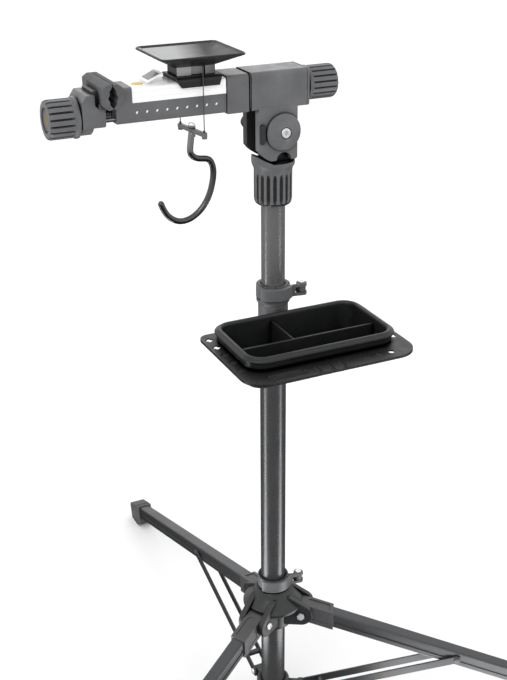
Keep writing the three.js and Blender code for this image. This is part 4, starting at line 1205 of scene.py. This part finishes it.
def jaw_carrier():
    x0, x1 = size("jaw_carrier", "x")
    block_low, step_x, top = 1109.6, -262, 1128
    outline = [
        (x0, 1086), (x1 - 1.5, 1086), (x1, 1087.5), (x1, block_low), (step_x + 5, block_low),
        (step_x, block_low + 5), (step_x, top), (x0 + 6, top), (x0, top - 9),
    ]
    carrier = bevel(prism(soft(outline, 0.8, steps=2), "xz", -27, 27), 1, 3)
    back = JAW_SPLIT - 13.2 - GAP
    join(carrier, block(step_x - 2, back, -20, 20, block_low - 3, top + 4))
    foot_x, foot_z, slope_x, slope_z = -248.9, 1110.5, -256.2, 1115.8
    wedge = [
        (back - 1, block_low - 2), (foot_x, block_low - 2), (foot_x, foot_z), (slope_x, slope_z),
        (back - 1, slope_z),
    ]
    join(carrier, prism(wedge, "xz", -26.6, 26.6))
    flange = [(0, x0), (24, x0), (24, x0 + 15), (22.5, x0 + 16.5), (0, x0 + 16.5)]
    join(carrier, lathe(flange, "x", ON_SCREW, ease=0.8))
    cut(carrier, bar("x", SCREW_BORE, x0 - 1, x1 + 1, ON_SCREW))
    for y in (-ROD_Y, ROD_Y):
        cut(carrier, bar("x", 3.3, x0 + 6, x1 + 1, (0, y, ROD_Z)))
    show_for("jaw_carrier", carrier, CHARCOAL)


def guide_rod(node, y):
    x0, x1 = size(node, "x")
    profile = soft([(0, x0), (3, x0), (3, x1), (0, x1)], 0.5, closed=False)
    show_for(node, lathe(profile, "x", (0, y, ROD_Z), 48), STEEL_DARK)


def lead_screw():
    """Rolled trapezoid thread, drawn as a helix, with plain ends."""
    x0, x1 = size("lead_screw", "x")
    pitch, r = 3.0, 5.5

    def shape(radius, height, angle):
        turn = (height / pitch - angle / (2 * pi)) % 1
        flank = min(1, max(0, abs(turn - 0.5) * 6 - 0.9))
        share = step(height, x0 + 32, x0 + 34) * (1 - step(height, x1 - 12, x1 - 10))
        return radius - 0.8 * (1 - flank) * share, height

    rows = int((x1 - x0) / 0.5)
    sides = [(r, x0 + (x1 - x0) * k / rows) for k in range(rows + 1)]
    profile = [(0, x0), *sides, (0, x1)]
    show_for("lead_screw", lathe(profile, "x", ON_SCREW, 40, shape), STEEL_DARK)


# ---- Tool tray ----
BIN_X, BIN_FRONT, BIN_BACK, BIN_R = 110, -165, -37, 22
FLOOR_Z, RIM_Z = 739.5, 788
DIVIDER_X, DIVIDER_Y, DIVIDER_TOP = -22, -112, 779


def bin_ring(grow, z):
    outline = rounded(-BIN_X - grow, BIN_X + grow, BIN_FRONT - grow, BIN_BACK + grow, BIN_R + grow, 10)
    return [(x, y, z) for x, y in outline]


def tray_bin():
    """The bin's outer wall, two-step rim, drafted inner wall and filleted floor."""
    rows = [
        (-6, FLOOR_Z), (-2, FLOOR_Z + 0.8), (0, FLOOR_Z + 3), (0, 769.5), (1.4, 771),
        (4.0, 771.6), (4.8, 773), (4.9, 778.4), (5.6, 779.6), (7.0, 780.2), (7.9, 781.4),
        (8.0, 783.2), (7.2, 784.6), (5.6, 785.3), (4.6, 785.7), (4.0, 786.4), (3.2, 787.4),
        (1.8, RIM_Z), (0, RIM_Z - 0.1), (-1.8, 787.2), (-2.9, 785.4), (-3.2, 783), (-4.6, 748),
        (-5.6, 744.6), (-8, 742.9), (-12, 742.5),
    ]
    return loft([bin_ring(*row) for row in rows])


def tray_dividers():
    """Two thin walls, wider at the foot, that part the bin in three."""
    foot, top = 742, DIVIDER_TOP
    across = [(-2.3, foot), (2.3, foot), (1.4, top), (-1.4, top)]
    long_wall = prism(soft([(DIVIDER_Y + v, z) for v, z in across], 0.9), "yz", -106.5, 106.5)
    short_wall = prism(soft([(DIVIDER_X + u, z) for u, z in across], 0.9), "xz", DIVIDER_Y, -40.5)
    return long_wall, short_wall


def through(outline):
    """A hole through the tray's ledge."""
    return prism(outline, "xy", 755, 780)


def cross_hole(x, y):
    a, b = 6, 2.5
    half = [(-a, -b), (-b, -b), (-b, -a), (b, -a), (b, -b), (a, -b)]
    outline = [(x + u, y + v) for u, v in half + [(-u, -v) for u, v in half]]
    return through(soft(outline, 0.9))


def tray_flange():
    """The ledge round the bin with its rows of tool holes."""
    plate = prism(rounded(-132, 132, -205, -22, [34, 34, 15, 15], 14), "xy", 764, 768)
    web = rounded(-129.6, 129.6, -202.6, -24.4, [31.6, 31.6, 12.6, 12.6], 14)
    cut(plate, prism(web, "xy", 760, 766))
    holes = [cross_hole(-121.5, -42 - 27 * k) for k in range(5)]
    for y in (-50, -92, -134):
        holes.append(through(oblong(121.5, y - 9.5, y + 9.5, 4.5)))
    holes.append(through(rounded(-98, -42, -199, -182, 5, 5)))
    for x in (-26, -7, 12):
        notch = [
            (x - 6, -210), (x + 6, -210), (x + 3.2, -198), (x + 3.2, -184), (x - 3.2, -184),
            (x - 3.2, -198),
        ]
        holes.append(through(soft(notch, 1.6)))
    for x in (52, 72, 92):
        holes.append(bar("z", 4.5, 755, 780, (x, -188, 0), 40))
    holes.append(bar("z", 29, 735, 770, segments=96))
    inner = rounded(-BIN_X + 1, BIN_X - 1, BIN_FRONT + 1, BIN_BACK - 1, BIN_R - 1, 8)
    holes.append(through(inner))
    return bevel(cut(plate, *holes), 0.9, 3, 40)


def tool_tray():
    tray = tray_bin()
    join(tray, *tray_dividers())
    cut(tray, bar("z", 29, 735, 771, segments=96))
    flange = tray_flange()
    join(flange, bar("x", 3.3, -96, -44, (0, -201.4, 765.6), 24))
    show_for("tool_tray", merged(tray, flange), BLACK)


def tray_liner():
    low, high = size("tray_liner", "z")
    liner = lathe(hoop(BORE_R, 23, low, high), segments=128, ease=0.5)
    show_for("tray_liner", cut(liner, block(15, 30, -1, 1, low - 5, high + 5)), BLACK)


CLAMP_Z = 725


def tray_clamp():
    low, high = CLAMP_Z - 19, CLAMP_Z + 19
    profile = [(0, low), (29, low), (30, low + 1), (30, high - 1), (29, high), (0, high)]
    clamp = lathe(profile, segments=128, ease=0.8)
    join(clamp, block(-20, 20, BIN_BACK + GAP, -26, low + 4, 764 - GAP))
    join(clamp, bar("y", 11, 20, 34, (0, 0, CLAMP_Z), 64))
    cut(
        clamp,
        bar("z", 23.35, low - 1, high + 0.5, segments=128),
        bar("z", 27, high, 780, segments=96),
        bar("y", 4.4, 15, 40, (0, 0, CLAMP_Z)),
    )
    show_for("tray_clamp", bevel(clamp, 0.7, 2, 45), BLACK)


def tray_knob():
    y1 = size("tray_knob")[3]
    y0 = y1 - 20
    r = 17
    profile = [
        (0, 24.6), (4, 24.6), (4, y0 - 1.5), (9, y0 - 1.5), (9, y0), (r - 1.5, y0), (r, y0 + 2.5),
        (r, y1 - 3), (r - 1.4, y1 - 0.8), (r - 4, y1), (0, y1),
    ]
    knob = lathe(profile, "y", (0, 0, CLAMP_Z), 160, lobed(1.2, 9.5, 15), ease=0.6)
    show_for("tray_knob", knob, BLACK)


# ---- Stage, light and camera ----
def stage():
    """The floor under the stand; glossy pieces mirror the sky in its place."""
    reach = 3e4
    corners = [(-reach, -reach, 0), (reach, -reach, 0), (reach, reach, 0), (-reach, reach, 0)]
    floor = solid(corners, [[0, 1, 2, 3]])
    floor.name = "floor"
    made = Finish("pale_floor")
    cloud = made.noise(1.3, 3)
    base = made.mixed(made.span(cloud, 0, 1), (0.88, 0.88, 0.88, 1), (0.91, 0.91, 0.91, 1))
    floor.data.materials.append(made.set(Base_Color=base, Roughness=made.span(cloud, 0.8, 0.9)))
    floor.visible_glossy = False


def facing(direction):
    """The turn of a lamp or camera that looks along a direction."""
    return Vector(direction).to_track_quat("-Z", "Y").to_euler()


def softbox(name, place, turn, width, height, glow):
    """A rectangular lamp that the camera doesn't see; glow is the radiance of its face."""
    lamp = bpy.data.lights.new(name, "AREA")
    lamp.shape = "RECTANGLE"
    lamp.size = width
    lamp.size_y = height
    lamp.energy = glow * pi * width * height
    box = bpy.data.objects.new(name, lamp)
    box.location = place
    box.rotation_euler = turn
    box.visible_camera = False
    scene.collection.objects.link(box)


def floor_strip(name, azimuth, glow):
    """A long lamp lying on the floor; upright tubes mirror it as a bright line."""
    reach, length, width, clear = 1.35, 2.3, 0.26, 0.003
    turn = radians(azimuth)
    place = MAST + Vector((cos(turn) * reach, sin(turn) * reach, clear))
    softbox(name, place, (pi, 0, turn + pi / 2), width, length, glow)


def sky():
    """White studio dome, brightest overhead; below the floor it is dark, for mirrored tones."""
    world = bpy.data.worlds.new("studio")
    scene.world = world
    made = Nodes(world)
    where = made.add("ShaderNodeTexCoord").outputs["Generated"]
    up = made.add("ShaderNodeSeparateXYZ", Vector=where).outputs["Z"]
    below, above = made.span(up, 0.04, 1, -0.45, -0.06), made.span(up, 0, 0.3, 0, 1)
    total = made.add("ShaderNodeMath", {"operation": "ADD"}, {0: below, 1: above})
    background = made.tree.nodes["Background"]
    made.feed(background.inputs["Strength"], total.outputs["Value"])
    background.inputs["Color"].default_value = (1, 1, 1, 1)


def light():
    sky()
    key, back = Vector((-2.0, -1.9, 2.8)), Vector((1.3, 2.3, 2.0))
    tripod, head = Vector((0, -0.17, 0.7)), Vector((0, -0.17, 1.05))
    softbox("key", key, facing(tripod - key), 1.4, 1.4, 3.5)
    softbox("back", back, facing(head - back), 2.6, 1.3, 0.5)
    floor_strip("line_left", 170, 6)
    floor_strip("line_right", 316, 5)


def camera():
    lens = bpy.data.cameras.new("camera")
    lens.sensor_width = 36
    lens.lens = 60.67059
    lens.shift_x = -0.02867647
    lens.clip_end = 200
    eye = bpy.data.objects.new("camera", lens)
    turn, pitch = radians(26), radians(24.7)
    level = cos(pitch)
    eye.location = MAST + Vector((-0.6896, -1.4138, 1.450))
    eye.rotation_euler = facing((sin(turn) * level, cos(turn) * level, -sin(pitch)))
    scene.collection.objects.link(eye)
    scene.camera = eye


# ---- The stand ----
scene.view_settings.view_transform = "Standard"
camera()
light()
stage()

mast_tube("lower_tube", 2, ANODISED)
# The upper tube's paler tone is painted light.
mast_tube("upper_tube", 2, ANODISED_LIT)
tube_bush()
mast_sleeve()
slider_hub()
base_hub()
for part in ("mast", "base"):
    clamp_band(f"{part}_clamp_band")
    cam_lever(f"{part}_qr_lever")
    qr_pin(f"{part}_qr_pin")
for number in AZIMUTHS:
    leg(number)
    leg_bracket(number)
    foot(number)
    brace(number)
    cross_bolt(f"leg_bolt_{number}", number, HUB_Z, TIP, 4, EAR_OUT, 6.5)
    cross_bolt(f"brace_bolt_{number}", number, BASE_Z, -TIP, 3.1, STRIP_IN + STRIP_THICK, 5.5)

mast_fitting()
fold_collar()
head_housing()
release_button()
pivot_cap()
pivot_bolt()
pivot_knob()

arm_axle()
arm_root()
arm_beam()
arm_lock_knob()
scale_cover()
display()
weigh_saddle()
dish()
wire("wire_front", -WIRE_Y)
wire("wire_back", WIRE_Y)
hook_yoke()
hook()
jaw("fixed_jaw", 1)
jaw("moving_jaw", -1)
jaw_carrier()
guide_rod("guide_rod_front", -ROD_Y)
guide_rod("guide_rod_back", ROD_Y)
lead_screw()
clamp_knob()

tool_tray()
tray_liner()
tray_clamp()
tray_knob()
